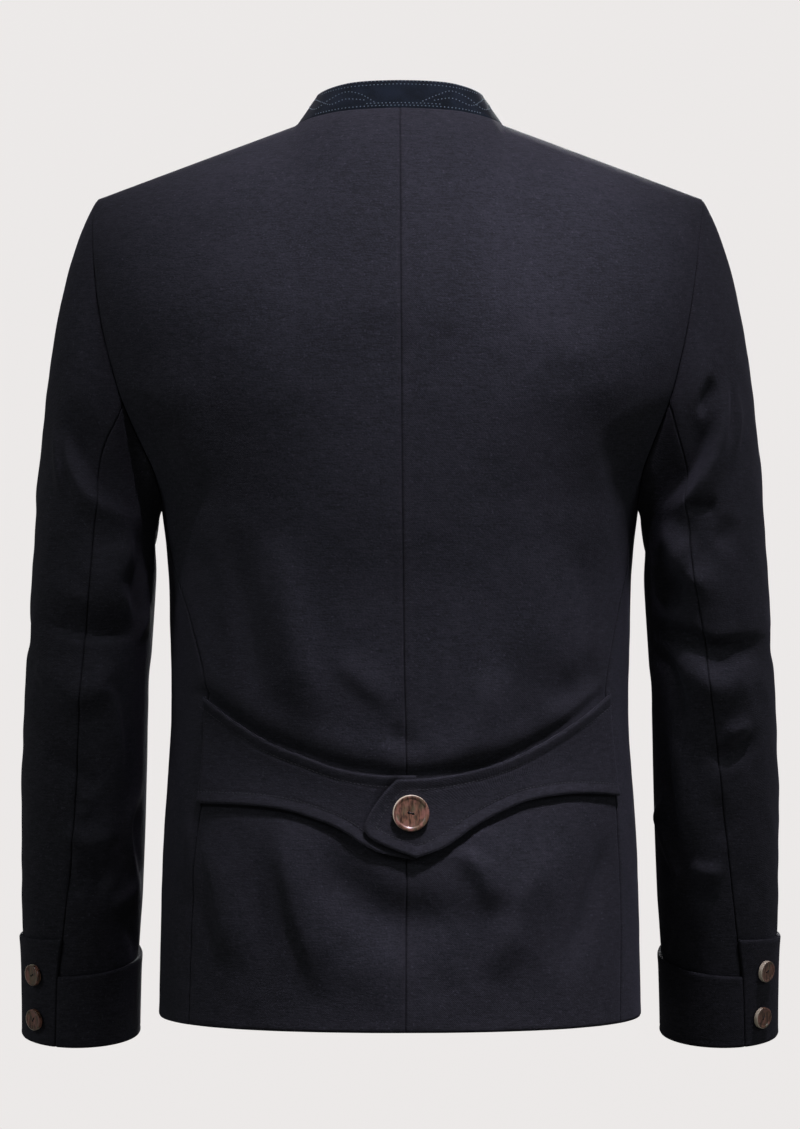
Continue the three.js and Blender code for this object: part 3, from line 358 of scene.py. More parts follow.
def curve(rows, column):
    """A smooth curve through a table, from its first column to another, with no overshoot."""
    table = np.array(rows, float)
    table = table[table[:, 0].argsort()]
    x = table[:, 0]
    y = table[:, column]
    rise = np.diff(y) / np.diff(x)
    slope = np.zeros_like(y)
    slope[0] = rise[0]
    slope[-1] = rise[-1]
    before = rise[:-1]
    after = rise[1:]
    same_way = before * after > 0
    slope[1:-1][same_way] = 2 / (1 / before[same_way] + 1 / after[same_way])

    def at(value):
        v = np.clip(value, x[0], x[-1])
        i = np.clip(np.searchsorted(x, v) - 1, 0, len(x) - 2)
        step = x[i + 1] - x[i]
        t = (v - x[i]) / step
        bend = t * t * (3 - 2 * t)
        lean = step * t * (1 - t) * (slope[i] * (1 - t) - slope[i + 1] * t)
        return y[i] * (1 - bend) + y[i + 1] * bend + lean

    return at


def eased(points, count):
    """A rounded line through given points."""
    p = np.array(points, float)
    p = np.vstack([2 * p[0] - p[1], p, 2 * p[-1] - p[-2]])
    t = np.linspace(0, len(points) - 1, count)
    i = np.minimum(t.astype(int), len(points) - 2)
    f = (t - i)[:, None]
    a, b, c, d = p[i], p[i + 1], p[i + 2], p[i + 3]
    return 0.5 * (2 * b + (c - a) * f + (2 * a - 5 * b + 4 * c - d) * f**2 + (3 * b - a - 3 * c + d) * f**3)


def smooth(value, low, high):
    """0 up to low and 1 from high on, with an even climb between."""
    t = np.clip((value - low) / (high - low), 0, 1)
    return t * t * (3 - 2 * t)


def mixed(a, b, t):
    return a + (b - a) * t


def bell(distance, width):
    """1 at no distance, falling off to both sides."""
    return np.exp(-((distance / width) ** 2))


def steps_along(points, axis=0):
    """How far along its line each point is."""
    length = np.linalg.norm(np.diff(points, axis=axis), axis=-1)
    zero = np.zeros_like(np.take(length, [0], axis=axis))
    return np.concatenate([zero, np.cumsum(length, axis=axis)], axis=axis)


def unit(ways):
    return ways / np.linalg.norm(ways, axis=1, keepdims=True)


def at_steps(steps, run, values):
    """Rows of values, each known at a step of the run, at other steps."""
    return np.stack([np.interp(steps, run, column) for column in values.T], axis=1)


def evenly(line, count):
    """The same line with its points at even steps along it."""
    run = steps_along(line)
    return at_steps(np.linspace(0, run[-1], count), run, line)


def folded(folds, s, z):
    """How far the folds lift the cloth, at distances s round it and heights z."""
    s, z = np.broadcast_arrays(s, z)
    lift = np.zeros(s.shape)
    for line, right, left, height in folds:
        reach = FOLD_REACH * max(right, left)
        low = line.min(axis=0) - reach
        high = line.max(axis=0) + reach
        near = (s > low[0]) & (s < high[0]) & (z > low[1]) & (z < high[1])
        if not near.any():
            continue
        at = np.stack([s[near], z[near]], axis=1)
        start = line[:-1]
        way = np.diff(line, axis=0)
        length = np.linalg.norm(way, axis=1)
        run = steps_along(line)
        offset = at[:, None, :] - start
        t = np.clip((offset * way).sum(axis=2) / length**2, 0, 1)
        apart = np.linalg.norm(offset - t[..., None] * way, axis=2)
        best = apart.argmin(axis=1)
        row = np.arange(len(at))
        along = (run[best] + t[row, best] * length[best]) / run[-1]
        cross = way[best, 0] * offset[row, best, 1] - way[best, 1] * offset[row, best, 0]
        width = np.where(cross > 0, right, left)
        fade = smooth(along, 0, FOLD_FADE) * smooth(1 - along, 0, FOLD_FADE)
        lift[near] += height * fade * bell(apart[row, best], width)
    return lift


def uneven(s, z):
    """The slight waves that worn cloth has all over: their lengths round it and down it, and start."""
    waves = [(41, 67, 0.3), (-58, 49, 1.7), (29, -88, 4.1), (-33, 31, 2.6), (71, 25, 5.2)]
    total = sum(np.sin(2 * math.pi * (s / a + z / b) + c) for a, b, c in waves)
    return 0.035 * total


class Half:
    """The back or the front half of the body's form."""

    def __init__(self, width, depth, crown):
        self.width = curve(BODY, width)
        self.depth = curve(BODY, depth)
        self.round = curve(crown, 2)
        self.inside = curve([row for row in crown if row[0] <= NECK_HALF_WIDTH], 1)

    def crown(self, x):
        """Height of the neck opening or the shoulder line at a distance from the middle."""
        fall = SHOULDER_Z / (SHOULDER_X - NECK_HALF_WIDTH)
        return np.where(x < NECK_HALF_WIDTH, self.inside(x), (x - NECK_HALF_WIDTH) * fall)


BACK = Half(1, 3, BACK_CROWN)
FRONT = Half(2, 4, FRONT_CROWN)
# The back's crown without its bend at the neck point, which the cloth lower down doesn't show
BACK_SOFT_CROWN = curve([(0, 36), (40, 28.5), (64, 15), (78, 4.5), (100, -5.5), (150, -26.7), (229, -56)], 1)


def body_angle(side, half, x, z):
    turned = np.arcsin(np.clip(x / half.width(z), -1, 1))
    return turned if half is BACK else side * (math.pi - side * turned)


def body_places(side, half, x, z):
    """Places on the body, as angle and height, by distance from the middle and height."""
    return np.stack([body_angle(side, half, x, z), z], axis=-1)


def seen_behind(line):
    """A line drawn on the back as seen from behind, by distance round the body and height."""
    points = eased(line, 16)
    angle = np.arcsin(np.clip(points[:, 0] / BACK.width(points[:, 1]), -0.995, 0.995))
    return np.stack([angle * BODY_RADIUS, points[:, 1]], axis=1)


def round_body(line):
    """A line drawn by degrees round the body, by distance round it and height."""
    return eased([(math.radians(d) * BODY_RADIUS, z) for d, z in line], 16)


BODY_LINES = [(seen_behind(line), right, left, height) for line, right, left, height in BACK_FOLDS]
BODY_LINES += [(round_body(line), right, left, height) for line, right, left, height in HIDDEN_BODY_FOLDS]


def belt_middle(x):
    return BELT_MIDDLE_Z + BELT_RISE * (np.abs(x) / BELT_SPAN) ** BELT_BEND


def mirrored(line):
    """A line drawn on the other side of the middle."""
    return [(-x, z) for x, z in line]


BELT_TOP = curve(mirrored(RIGHT_BELT_TOP) + LEFT_BELT_TOP[1:], 1)
BELT_BOTTOM = curve(mirrored(RIGHT_BELT_BOTTOM) + LEFT_BELT_BOTTOM[1:], 1)


def belt_cover(x, z, above, below):
    """1 under the half belt, fading over so many millimetres past its upper and lower edges."""
    inside = smooth(BELT_TOP(x) + above - z, 0, above) * smooth(z - BELT_BOTTOM(x) + below, 0, below)
    return inside * smooth(BELT_END - np.abs(x), 0, 12)


def body_point(angle, z, creased=1.0):
    """Points of the body's form. `creased` is how much of the folds it takes."""
    angle, z = np.broadcast_arrays(np.asarray(angle, float), np.asarray(z, float))
    sine = np.sin(angle)
    cosine = np.cos(angle)
    behind = cosine >= 0
    x = np.where(behind, BACK.width(z), FRONT.width(z)) * sine
    away = np.abs(x)
    crown = np.where(behind, BACK.crown(away), FRONT.crown(away))
    rounding = np.where(behind, BACK.round(away), FRONT.round(away))
    below = np.clip((crown - z) / rounding, 0, 1)
    soft_crown = mixed(crown, BACK_SOFT_CROWN(away), smooth(crown - z, 8, 60))
    below = np.where(behind, np.clip((soft_crown - z) / rounding, 0, 1), below)
    depth = np.where(behind, BACK.depth(z), FRONT.depth(z))
    y = depth * cosine * (1 + FULLNESS * sine**2) * np.sqrt(1 - (1 - below) ** 2)
    y = y - np.where(behind, 1, -1) * SHOULDER_LAP * (1 - smooth(crown - z, 0, 2))
    lift = -BELT_PULL * bell(z - belt_middle(x), BELT_PULL_WIDTH) * smooth(cosine, 0.45, 0.75)
    if creased:
        turned = (angle + math.pi) % (2 * math.pi) - math.pi
        s = turned * BODY_RADIUS
        # Folds fade out under the belt and towards the shoulders, and are deepest at the centre back
        back_only = smooth(cosine, 0.3, 0.5)
        left_over = 1 - 0.9 * belt_cover(x, z, 5, 5) * back_only
        quiet = smooth(crown - z, 2, 40)
        strength = 1 + 0.7 * np.maximum(cosine, 0) ** 2
        folds = (folded(BODY_LINES, s, z) + uneven(s, z)) * strength * left_over * quiet
        tuck = BELT_TUCK * belt_cover(x, z, 13, 8)
        above = z - BELT_TOP(x)
        drawn, drawn_at, drawn_width = BELT_DRAWN
        drawn = drawn * bell(above - drawn_at, drawn_width) * smooth(BELT_END - away, 0, 12)
        blouse, blouse_at, blouse_width = BELT_BLOUSE
        blouse = blouse * bell(above - blouse_at, blouse_width) * smooth(BELT_SPAN - away, 0, 40)
        lift = lift + creased * (folds - (tuck + drawn - blouse) * back_only)
    return np.stack([x + lift * sine, y + lift * cosine, z], axis=-1)


# Grids of places on a form

EDGE_STEPS = np.array([0, 0.3, 0.65, 1.1, 1.8, 3.0])


def spaced(count, fine, first, last):
    """Steps from 0 to count, `fine` to each, with close ones at both ends, whose steps are first and
    last millimetres long."""
    start = EDGE_STEPS / first
    end = count - EDGE_STEPS / last
    inner = np.arange(1, round(count * fine)) / fine
    room = 0.35 / fine
    inner = inner[(inner > start[-1] + room) & (inner < end[-1] - room)]
    return np.sort(np.concatenate([start, inner, end]))


def filled(bottom, top, left, right, s, t):
    """Places that fill four sides. The sides are lists of (u, v) at the steps s across and t up."""
    s = s[None, :, None]
    t = t[:, None, None]
    ruled = mixed(bottom[None], top[None], t) + mixed(left[:, None], right[:, None], s)
    corners = mixed(mixed(bottom[0], bottom[-1], s), mixed(top[0], top[-1], s), t)
    return ruled - corners


def row_height(rows, top):
    """Heights of the part's rows, up to a top."""
    low = mixed(HEM_Z, ARMHOLE_FOOT_Z, np.minimum(rows, LOW_ROWS) / LOW_ROWS)
    share = np.clip((rows - LOW_ROWS) / HIGH_ROWS, 0, 1)
    high = mixed(ARMHOLE_FOOT_Z, top, np.sin(math.pi / 2 * share))
    return np.where(rows <= LOW_ROWS, low, high)


def side_name(side):
    return "left" if side > 0 else "right"


def edge_line(side, half, rows):
    """Places along the outer edge of a back or front, up its side seam and round the armhole."""
    column = 3
    if half is BACK:
        column = 1 if side > 0 else 2
    z = row_height(rows, SHOULDER_Z)
    x = curve(PANEL_EDGE, column)(z)
    return body_places(side, half, side * x, z)


def neck_line(side, half, degrees):
    """Places round the neck opening."""
    sine = np.sin(np.radians(degrees))
    if half is BACK:
        z = NECK_BACK_RISE * (1 - np.abs(sine) ** 2.5)
    else:
        z = -NECK_FRONT_DROP * np.abs(np.cos(np.radians(degrees))) ** NECK_FRONT_BEND
    return body_places(side, half, side * NECK_HALF_WIDTH * sine, z)


def top_line(side, half, columns):
    """Places along the upper edge of a back or front, round the neck and along the shoulder."""
    turn = np.minimum(columns, NECK_COLUMNS) * NECK_STEP
    neck = neck_line(side, half, turn if half is BACK else 180 - turn)
    x = mixed(NECK_HALF_WIDTH, SHOULDER_X, np.clip((columns - NECK_COLUMNS) / SHOULDER_COLUMNS, 0, 1))
    z = half.crown(x)
    shoulder = body_places(side, half, side * x, z)
    return np.where((columns <= NECK_COLUMNS)[:, None], neck, shoulder)


def back_places(side):
    columns = spaced(NECK_COLUMNS + SHOULDER_COLUMNS, 6, 12, 18)
    rows = spaced(LOW_ROWS + HIGH_ROWS, 12, 35, 22)
    z = row_height(rows, NECK_BACK_RISE)
    centre = body_places(side, BACK, curve(BACK_SEAM, 1)(z) - side * SEAM_LAP, z)
    edge = edge_line(side, BACK, rows)
    under = body_angle(side, BACK, side * UNDER_NECK_X, HEM_Z)
    low = mixed(centre[0, 0], under, np.minimum(columns, NECK_COLUMNS) / NECK_COLUMNS)
    high = mixed(under, edge[0, 0], (columns - NECK_COLUMNS) / SHOULDER_COLUMNS)
    angle = np.where(columns <= NECK_COLUMNS, low, high)
    hem = np.stack([angle, np.full_like(angle, HEM_Z)], axis=1)
    top = top_line(side, BACK, columns)
    return filled(hem, top, centre, edge, columns / columns[-1], rows / rows[-1])


def front_places(side):
    rows = spaced(LOW_ROWS + HIGH_ROWS, 9, 35, 22)
    straight = spaced(2 * OVERLAP_COLUMNS, 5, 12, 12)[: -len(EDGE_STEPS)] - OVERLAP_COLUMNS
    strips = []
    for degrees in straight * NECK_STEP:
        x = side * NECK_HALF_WIDTH * math.sin(math.radians(degrees))
        top = neck_line(side, FRONT, np.array(180 - abs(degrees)))[1]
        z = row_height(rows, top)
        strips.append(body_places(side, FRONT, x, z))
    columns = spaced(NECK_COLUMNS + SHOULDER_COLUMNS - OVERLAP_COLUMNS, 5, 8, 15) + OVERLAP_COLUMNS
    z = row_height(rows, neck_line(side, FRONT, np.array(180 - OVERLAP_COLUMNS * NECK_STEP))[1])
    start = body_places(side, FRONT, side * OVERLAP, z)
    edge = edge_line(side, FRONT, rows)
    share = (columns - OVERLAP_COLUMNS) / (columns[-1] - OVERLAP_COLUMNS)
    hem = np.stack([mixed(start[0, 0], edge[0, 0], share), np.full_like(share, HEM_Z)], axis=1)
    rest = filled(hem, top_line(side, FRONT, columns), start, edge, share, rows / rows[-1])
    return np.concatenate([np.stack(strips, axis=1), rest], axis=1)


def side_top(side, share):
    """Places along the upper edge of a side panel, under the arm."""
    back = edge_line(side, BACK, np.array([LOW_ROWS]))[0]
    front = edge_line(side, FRONT, np.array([LOW_ROWS]))[0]
    angle = mixed(back[0], front[0], share)
    z = back[1] - ARMHOLE_FOOT_DIP * np.sin(math.pi * share)
    return np.stack([angle, z], axis=1)


def side_places(side):
    rows = spaced(LOW_ROWS, 11, 35, 35)
    columns = spaced(4, 6, 12, 12) / 4
    back = edge_line(side, BACK, rows)
    front = edge_line(side, FRONT, rows)
    hem = np.stack([mixed(back[0, 0], front[0, 0], columns), np.full_like(columns, HEM_Z)], axis=1)
    return filled(hem, side_top(side, columns), back, front, columns, rows / rows[-1])


ARM_X, ARM_Y, ARM_WIDTH, ARM_DEPTH, ARM_TIP = (curve(ARM, k) for k in range(1, 6))


def place_above_end(height):
    """The place along a sleeve, 2 at its end, that lies so many millimetres above its end."""
    return 2 - height / (ARM_TOP - ARM_END)


class Sleeve:
    """One sleeve's form, by degrees round the arm and place along it."""

    def __init__(self, side):
        self.side = side
        steps = 8
        fine = np.arange(0, HIGH_ROWS * steps + 1) / steps
        back = edge_line(side, BACK, (LOW_ROWS + fine)[::-1])
        foot = side_top(side, np.linspace(0, 1, 33)[1:-1])
        front = edge_line(side, FRONT, LOW_ROWS + fine)[:-1]
        places = np.concatenate([back, foot, front])
        points = body_point(places[:, 0], places[:, 1])
        degrees = self.degrees_at(points)
        down = np.arange(len(places)) < len(back) + len(foot)
        degrees = np.where(down & (degrees < -1e-6), degrees + 360, degrees)
        self.start_hind = degrees[(LOW_ROWS + HIGH_ROWS - HIND_ROW) * steps]
        self.start_fore = degrees[len(back) + len(foot) + (FORE_ROW - LOW_ROWS) * steps]
        points[:, 0] = np.abs(points[:, 0])
        turns = np.concatenate([np.column_stack([degrees + turn, points]) for turn in (-360, 0, 360)])
        _, once = np.unique(np.round(turns[:, 0], 6), return_index=True)
        self.armhole = [curve(turns[once], k) for k in (1, 2, 3)]
        name = side_name(side)
        self.lines = [(self.seen(line), *self.handed(*rest)) for line, *rest in SEEN_ARM_FOLDS[name]]
        self.lines += [(self.around(line), *rest) for line, *rest in HIDDEN_ARM_FOLDS[name]]
        column = 1 if side > 0 else 2
        self.hind_seam = curve(SLEEVE_SEAM, column)
        self.fore_seam = curve(SLEEVE_SEAM, 3)

    @staticmethod
    def degrees_at(points):
        middle = (SHOULDER_Z + ARMHOLE_FOOT_Z) / 2
        return np.degrees(np.arctan2(points[..., 1], points[..., 2] - middle))

    def handed(self, right, left, height):
        """Round the left arm the distance grows the other way than round the body, so that the two hands
        change places there."""
        return (left, right, height) if self.side > 0 else (right, left, height)

    @staticmethod
    def seen(line):
        """A fold drawn as seen from behind, by distance round the arm and height."""
        points = eased(line, 18)
        inside = (np.abs(points[:, 0]) - ARM_X(points[:, 1])) / (ARM_WIDTH(points[:, 1]) + 2)
        degrees = np.degrees(np.arccos(np.clip(inside, -0.98, 0.98)))
        return np.stack([np.radians(degrees) * ARM_RADIUS, points[:, 1]], axis=1)

    @staticmethod
    def around(line):
        return eased([(math.radians(d) * ARM_RADIUS, z) for d, z in line], 16)

    def under_cuff(self, degrees, place):
        """The sleeve's form with the softer folds that a cuff over it takes."""
        return self.point(degrees, place, CUFF_CREASE)

    def ring(self, degrees, z):
        """The arm's oval at a height, which tips a little."""
        angle = np.radians(degrees)
        back = ARM_DEPTH(z) * np.sin(angle)
        tip = np.radians(ARM_TIP(z))
        x = ARM_X(z) + ARM_WIDTH(z) * np.cos(angle)
        return np.stack([x, ARM_Y(z) + back * np.cos(tip), z - back * np.sin(tip)], axis=-1)

    def cap(self, degrees, t):
        """From the armhole at 0 to the top of the arm at 1."""
        angle = np.radians(degrees)
        share = (1 + np.cos(angle)) / 2
        start = np.stack([part(degrees) for part in self.armhole], axis=-1)
        start[..., 0] -= ARMHOLE_LAP
        nothing = np.zeros_like(share)
        belly = CAP_BELLY * np.sin(angle)
        leave = np.stack([mixed(*CAP_OUT, share), belly, -mixed(*CAP_DOWN, share)], axis=-1)
        arrive = np.stack([mixed(*CAP_END_OUT, share), nothing, -mixed(*CAP_END_DOWN, share)], axis=-1)
        t = t[..., None]
        bend = t * t * (3 - 2 * t)
        end = self.ring(degrees, np.full_like(degrees, ARM_TOP))
        return start * (1 - bend) + end * bend + leave * t * (1 - t) ** 2 - arrive * t * t * (1 - t)

    def point(self, degrees, place, creased=1.0):
        """Points of the sleeve, whose cap has places 0 to 1 and whose arm has 1 to 2."""
        degrees, place = np.broadcast_arrays(np.asarray(degrees, float), np.asarray(place, float))
        z = mixed(ARM_TOP, ARM_END, np.clip(place - 1, 0, 1))
        cap = self.cap(degrees, np.clip(place, 0, 1))
        p = np.where((place < 1)[..., None], cap, self.ring(degrees, z))
        turned = (degrees + 180) % 360 - 180
        s = np.radians(turned) * ARM_RADIUS
        whole = 2 * math.pi * ARM_RADIUS
        lift = sum(folded(self.lines, s + turn, p[..., 2]) for turn in (0, whole, -whole))
        lift = lift + 2 * uneven(s * 1.1 + 40, p[..., 2]) * np.cos(np.radians(turned) / 2) ** 2
        angle = np.radians(degrees)
        # Folds start a little below the armhole, and are deepest behind and in front of the arm
        lift = lift * smooth(place, 0, 0.25) * creased * (1 + 1.2 * np.sin(angle) ** 2)
        p[..., 0] += lift * np.cos(angle)
        p[..., 1] += lift * np.sin(angle)
        p[..., 0] *= self.side
        return p

    def hind(self, place):
        """Where the hind seam lies, in degrees. It leaves the body's own seam at the armhole."""
        return mixed(self.start_hind, self.hind_seam(place), smooth(place, 0, SEAM_TURN))

    def fore(self, place):
        return mixed(self.start_fore, self.fore_seam(place), smooth(place, 0, SEAM_TURN))

    def places(self, part, columns):
        cap = spaced(6, 12, 40, 40)[: -len(EDGE_STEPS)] / 6
        arm = 1 + spaced(17, 8, 23, 23)[len(EDGE_STEPS) :] / 17
        rows = np.concatenate([cap, [1.0], arm])
        first, last = self.edges(part)
        share = spaced(columns, 1, 2.9, 2.9) / columns
        degrees = mixed(first(rows)[:, None], last(rows)[:, None], share)
        return np.stack([degrees, np.broadcast_to(rows[:, None], degrees.shape)], axis=-1)

    def edges(self, part):
        """The seams between which the upper or the under part of the sleeve lies."""
        if part == "upper":
            return self.fore, self.hind
        return self.hind, lambda place: self.fore(place) + 360

    def cuff_places(self, part, heights, columns):
        height = curve(heights, 1)
        first, last = self.edges(part)
        share = spaced(columns, 1, 2.5, 2.5)[None] / columns
        up = spaced(28, 1, 2.6, 2.6)[:, None] / 28
        place = place_above_end(height(share) * (1 - up))
        return np.stack([mixed(first(place), last(place), share), place], axis=-1)


# From places to cloth


def edge_distances(points):
    """How far each point of a grid is from its first and last column and its first and last row."""
    across = steps_along(points, 1)
    up = steps_along(points, 0)
    return across, across[:, -1:] - across, up, up[-1:] - up


def facing(points, outwards):
    """The way each point of a grid faces. `outwards` is a rough way out of the form there."""
    across = np.gradient(points, axis=1)
    up = np.gradient(points, axis=0)
    normal = np.cross(across, up)
    normal /= np.maximum(np.linalg.norm(normal, axis=-1, keepdims=True), 1e-9)
    sign = np.sign((normal * outwards).sum(axis=-1).mean())
    return normal * sign, sign


def seam(distance):
    """A pressed seam: the cloth dips to it and has a slight roll beside it."""
    return -0.95 * bell(distance, 0.65) + 0.12 * bell(distance - 3.6, 1.8)


def shoulder_seam(distance):
    """A pressed seam along the top, where a deeper dip would show against the light."""
    return -0.3 * bell(distance, 0.65)


def fold_edge(distance):
    """A folded edge, which is rounded."""
    return -0.75 * bell(distance, 0.9) + 0.15 * bell(distance - 4, 3)


def stitched(distance, inset):
    """The groove that a row of stitches draws in the cloth, and the rise from it to the edge."""
    return -0.5 * bell(distance - inset, 0.9) + 0.1 * inset * smooth(inset - distance, 0, inset)


def out_of_body(points):
    return points * np.array([1.0, 1.0, 0.0])


def out_of_arm(points, side):
    z = points[..., 2]
    centre = np.stack([side * ARM_X(z), ARM_Y(z), z], axis=-1)
    return points - centre


def select_only(piece):
    bpy.ops.object.select_all(action="DESELECT")
    piece.select_set(True)
    bpy.context.view_layer.objects.active = piece


def add_piece(name, mesh):
    piece = bpy.data.objects.new(name, mesh)
    bpy.context.scene.collection.objects.link(piece)
    select_only(piece)
    return piece


def cloth(name, points, outwards, relief, shade_distance):
    """Makes a node's piece of cloth from a grid of points in millimetres, given its thickness inwards.
    The last argument is how far each point is from a seam; painted shade darkens the wool's colour near it."""
    kind = name.removesuffix("_left").removesuffix("_right")
    thickness = FOLDED_CLOTH if kind in FOLDED_KINDS else CLOTH
    finish, slot = (COLLAR_CLOTH, "suede") if kind == "collar" else (WOOL, "wool")
    normal, sign = facing(points, outwards)
    points = points + normal * relief[..., None]
    rows, columns = points.shape[:2]
    number = np.arange(rows * columns).reshape(rows, columns)
    corners = [number[:-1, :-1], number[:-1, 1:], number[1:, 1:], number[1:, :-1]]
    if sign < 0:
        corners.reverse()
    faces = np.stack([part.ravel() for part in corners], axis=1)
    mesh = bpy.data.meshes.new(name)
    mesh.from_pydata((points.reshape(-1, 3) * MM).tolist(), [], faces.tolist())
    across, _, up, _ = edge_distances(points)
    place = np.stack([across.ravel(), up.ravel()], axis=1) * MM
    layer = mesh.uv_layers.new(name="cloth")
    layer.data.foreach_set("uv", place[faces.ravel()].ravel())
    # Painted shade: the wool's colour goes nearly black within about a millimetre of a seam, for the shade
    # in its groove
    shade = bell(shade_distance, 0.6).ravel()
    mesh.attributes.new("painted_seam_shade", "FLOAT", "POINT").data.foreach_set("value", shade)
    mesh.validate()
    mesh.materials.append(finish)
    piece = add_piece(f"{name}_cloth", mesh)
    wall = piece.modifiers.new("wall", "SOLIDIFY")
    wall.thickness = thickness * MM
    wall.offset = -1
    bpy.ops.object.modifier_apply(modifier="wall")
    bpy.ops.object.shade_smooth_by_angle(angle=math.radians(48))
    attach(piece, "root")
    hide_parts(name)
    return piece


# Finishes


class Value:
    """A socket that can be added, multiplied and so on."""

    def __init__(self, finish, socket):
        self.finish = finish
        self.socket = socket

    def __add__(self, other):
        return self.finish.node("ShaderNodeMath", {"operation": "ADD"}, {0: self, 1: other})

    def __sub__(self, other):
        return self.finish.node("ShaderNodeMath", {"operation": "SUBTRACT"}, {0: self, 1: other})

    def __rsub__(self, other):
        return self.finish.node("ShaderNodeMath", {"operation": "SUBTRACT"}, {0: other, 1: self})

    def __mul__(self, other):
        return self.finish.node("ShaderNodeMath", {"operation": "MULTIPLY"}, {0: self, 1: other})

    def __pow__(self, other):
        return self.finish.node("ShaderNodeMath", {"operation": "POWER"}, {0: self, 1: other})

    __radd__ = __add__
    __rmul__ = __mul__


class Finish:
    """A material whose colour, roughness and bump are worked out over the surface."""

    def __init__(self, name):
        self.material = bpy.data.materials.new(name)
        self.material.use_nodes = True
        self.nodes = self.material.node_tree.nodes
        self.links = self.material.node_tree.links
        self.shader = next(node for node in self.nodes if node.type == "BSDF_PRINCIPLED")

    def feed(self, socket, value):
        if isinstance(value, Value):
            self.links.new(value.socket, socket)
        else:
            socket.default_value = value

    def node(self, kind, settings=None, sockets=None, output=0):
        made = self.nodes.new(kind)
        for key, value in (settings or {}).items():
            setattr(made, key, value)
        for key, value in (sockets or {}).items():
            self.feed(made.inputs[key], value)
        return Value(self, made.outputs[output])

    def noise(self, where, size, detail=2.0):
        """Noise with blotches of about the given sizes in millimetres along x, y and z."""
        scale = tuple(1 / (part * MM) for part in size)
        scaled = self.node("ShaderNodeVectorMath", {"operation": "MULTIPLY"}, {0: where, 1: scale})
        sockets = {"Vector": scaled, "Scale": 1.0, "Detail": detail}
        return self.node("ShaderNodeTexNoise", {}, sockets)

    def mix(self, share, first, second):
        settings = {"data_type": "RGBA"}
        return self.node("ShaderNodeMix", settings, {0: share, 6: first, 7: second}, output=2)

    def stretch(self, value, low, high):
        """A value from low to high, spread over 0 to 1."""
        sockets = {"Value": value, "From Min": low, "From Max": high}
        return self.node("ShaderNodeMapRange", {"interpolation_type": "SMOOTHSTEP"}, sockets)

    def bump(self, height, distance):
        sockets = {"Height": height, "Distance": distance * MM, "Strength": 1.0}
        return self.node("ShaderNodeBump", {}, sockets)

    def set(self, **sockets):
        for key, value in sockets.items():
            self.feed(self.shader.inputs[key.replace("_", " ")], value)
        return self.material


def wool_finish(name, dark, light, fleck):
    """A dark woven wool with thicker threads here and there across it, mottled and a little felted."""
    finish = Finish(name)
    place = finish.node("ShaderNodeTexCoord", output=3)
    woven = finish.node("ShaderNodeUVMap", {"uv_map": "cloth"})
    grain = finish.noise(place, (1.5, 1.5, 1.0), 3.0)
    slub = finish.noise(place, (8, 8, 1.1), 2.0)
    mottle = finish.noise(place, (5, 5, 3.2), 2.0)
    broad = finish.noise(place, (60, 60, 60), 2.0)
    thread = finish.node(
        "ShaderNodeTexWave",
        {"wave_type": "BANDS", "bands_direction": "DIAGONAL"},
        {"Vector": woven, "Scale": 420.0, "Distortion": 1.5, "Detail": 1.0},
        output=1,
    )
    tone = grain * 0.7 + slub * 0.5 + mottle * 0.3 + broad * 0.25
    spread = finish.stretch(tone, 0.6, 1.15)
    cloth_colour = finish.mix(spread, dark, light)
    spot = finish.stretch(finish.noise(place, (2.2, 2.2, 1.6), 1.0), 0.64, 0.76)
    flecked = finish.mix(spot * 0.6, cloth_colour, fleck)
    # Painted shade: near seams, and where one piece lies over another, the colour is mixed towards near
    # black
    painted_seam_shade = finish.node("ShaderNodeAttribute", {"attribute_name": "painted_seam_shade"}, output=2)
    colour = finish.mix(painted_seam_shade * 0.7, flecked, (0.001, 0.001, 0.0015, 1))
    height = grain * 0.5 + slub * 0.25 + mottle * 0.08 + thread * 0.12
    return finish.set(
        Base_Color=colour,
        Roughness=0.86 + grain * 0.12,
        Normal=finish.bump(height, 0.4),
        Specular_IOR_Level=0.12,
        Sheen_Weight=0.03,
        Sheen_Roughness=0.5,
        Sheen_Tint=(0.75, 0.75, 1.0, 1.0),
    )


def collar_finish():
    """A dull teal suede cloth with a short nap."""
    finish = Finish("collar_suede")
    place = finish.node("ShaderNodeTexCoord", output=3)
    nap = finish.noise(place, (0.9, 0.9, 0.9), 3.0)
    stroke = finish.noise(place, (14, 14, 9), 3.0)
    spread = finish.stretch(nap * 0.4 + stroke * 0.6, 0.34, 0.66)
    colour = finish.mix(spread, (0.001, 0.0024, 0.0042, 1), (0.0062, 0.0098, 0.016, 1))
    return finish.set(
        Base_Color=colour,
        Roughness=0.85 + nap * 0.12,
        Normal=finish.bump(nap * 0.6 + stroke * 0.4, 0.3),
        Specular_IOR_Level=0.12,
        Sheen_Weight=0.04,
        Sheen_Roughness=0.4,
    )


def thread_finish(name, colour):
    """Sewing thread, whose twist shows as darker and lighter bits."""
    finish = Finish(name)
    place = finish.node("ShaderNodeTexCoord", output=3)
    twist = finish.noise(place, (0.5, 0.5, 0.5), 2.0)
    dim = tuple(part * 0.6 for part in colour[:3]) + (1,)
    return finish.set(
        Base_Color=finish.mix(twist, dim, colour),
        Roughness=0.6 + twist * 0.2,
        Normal=finish.bump(twist, 0.1),
    )


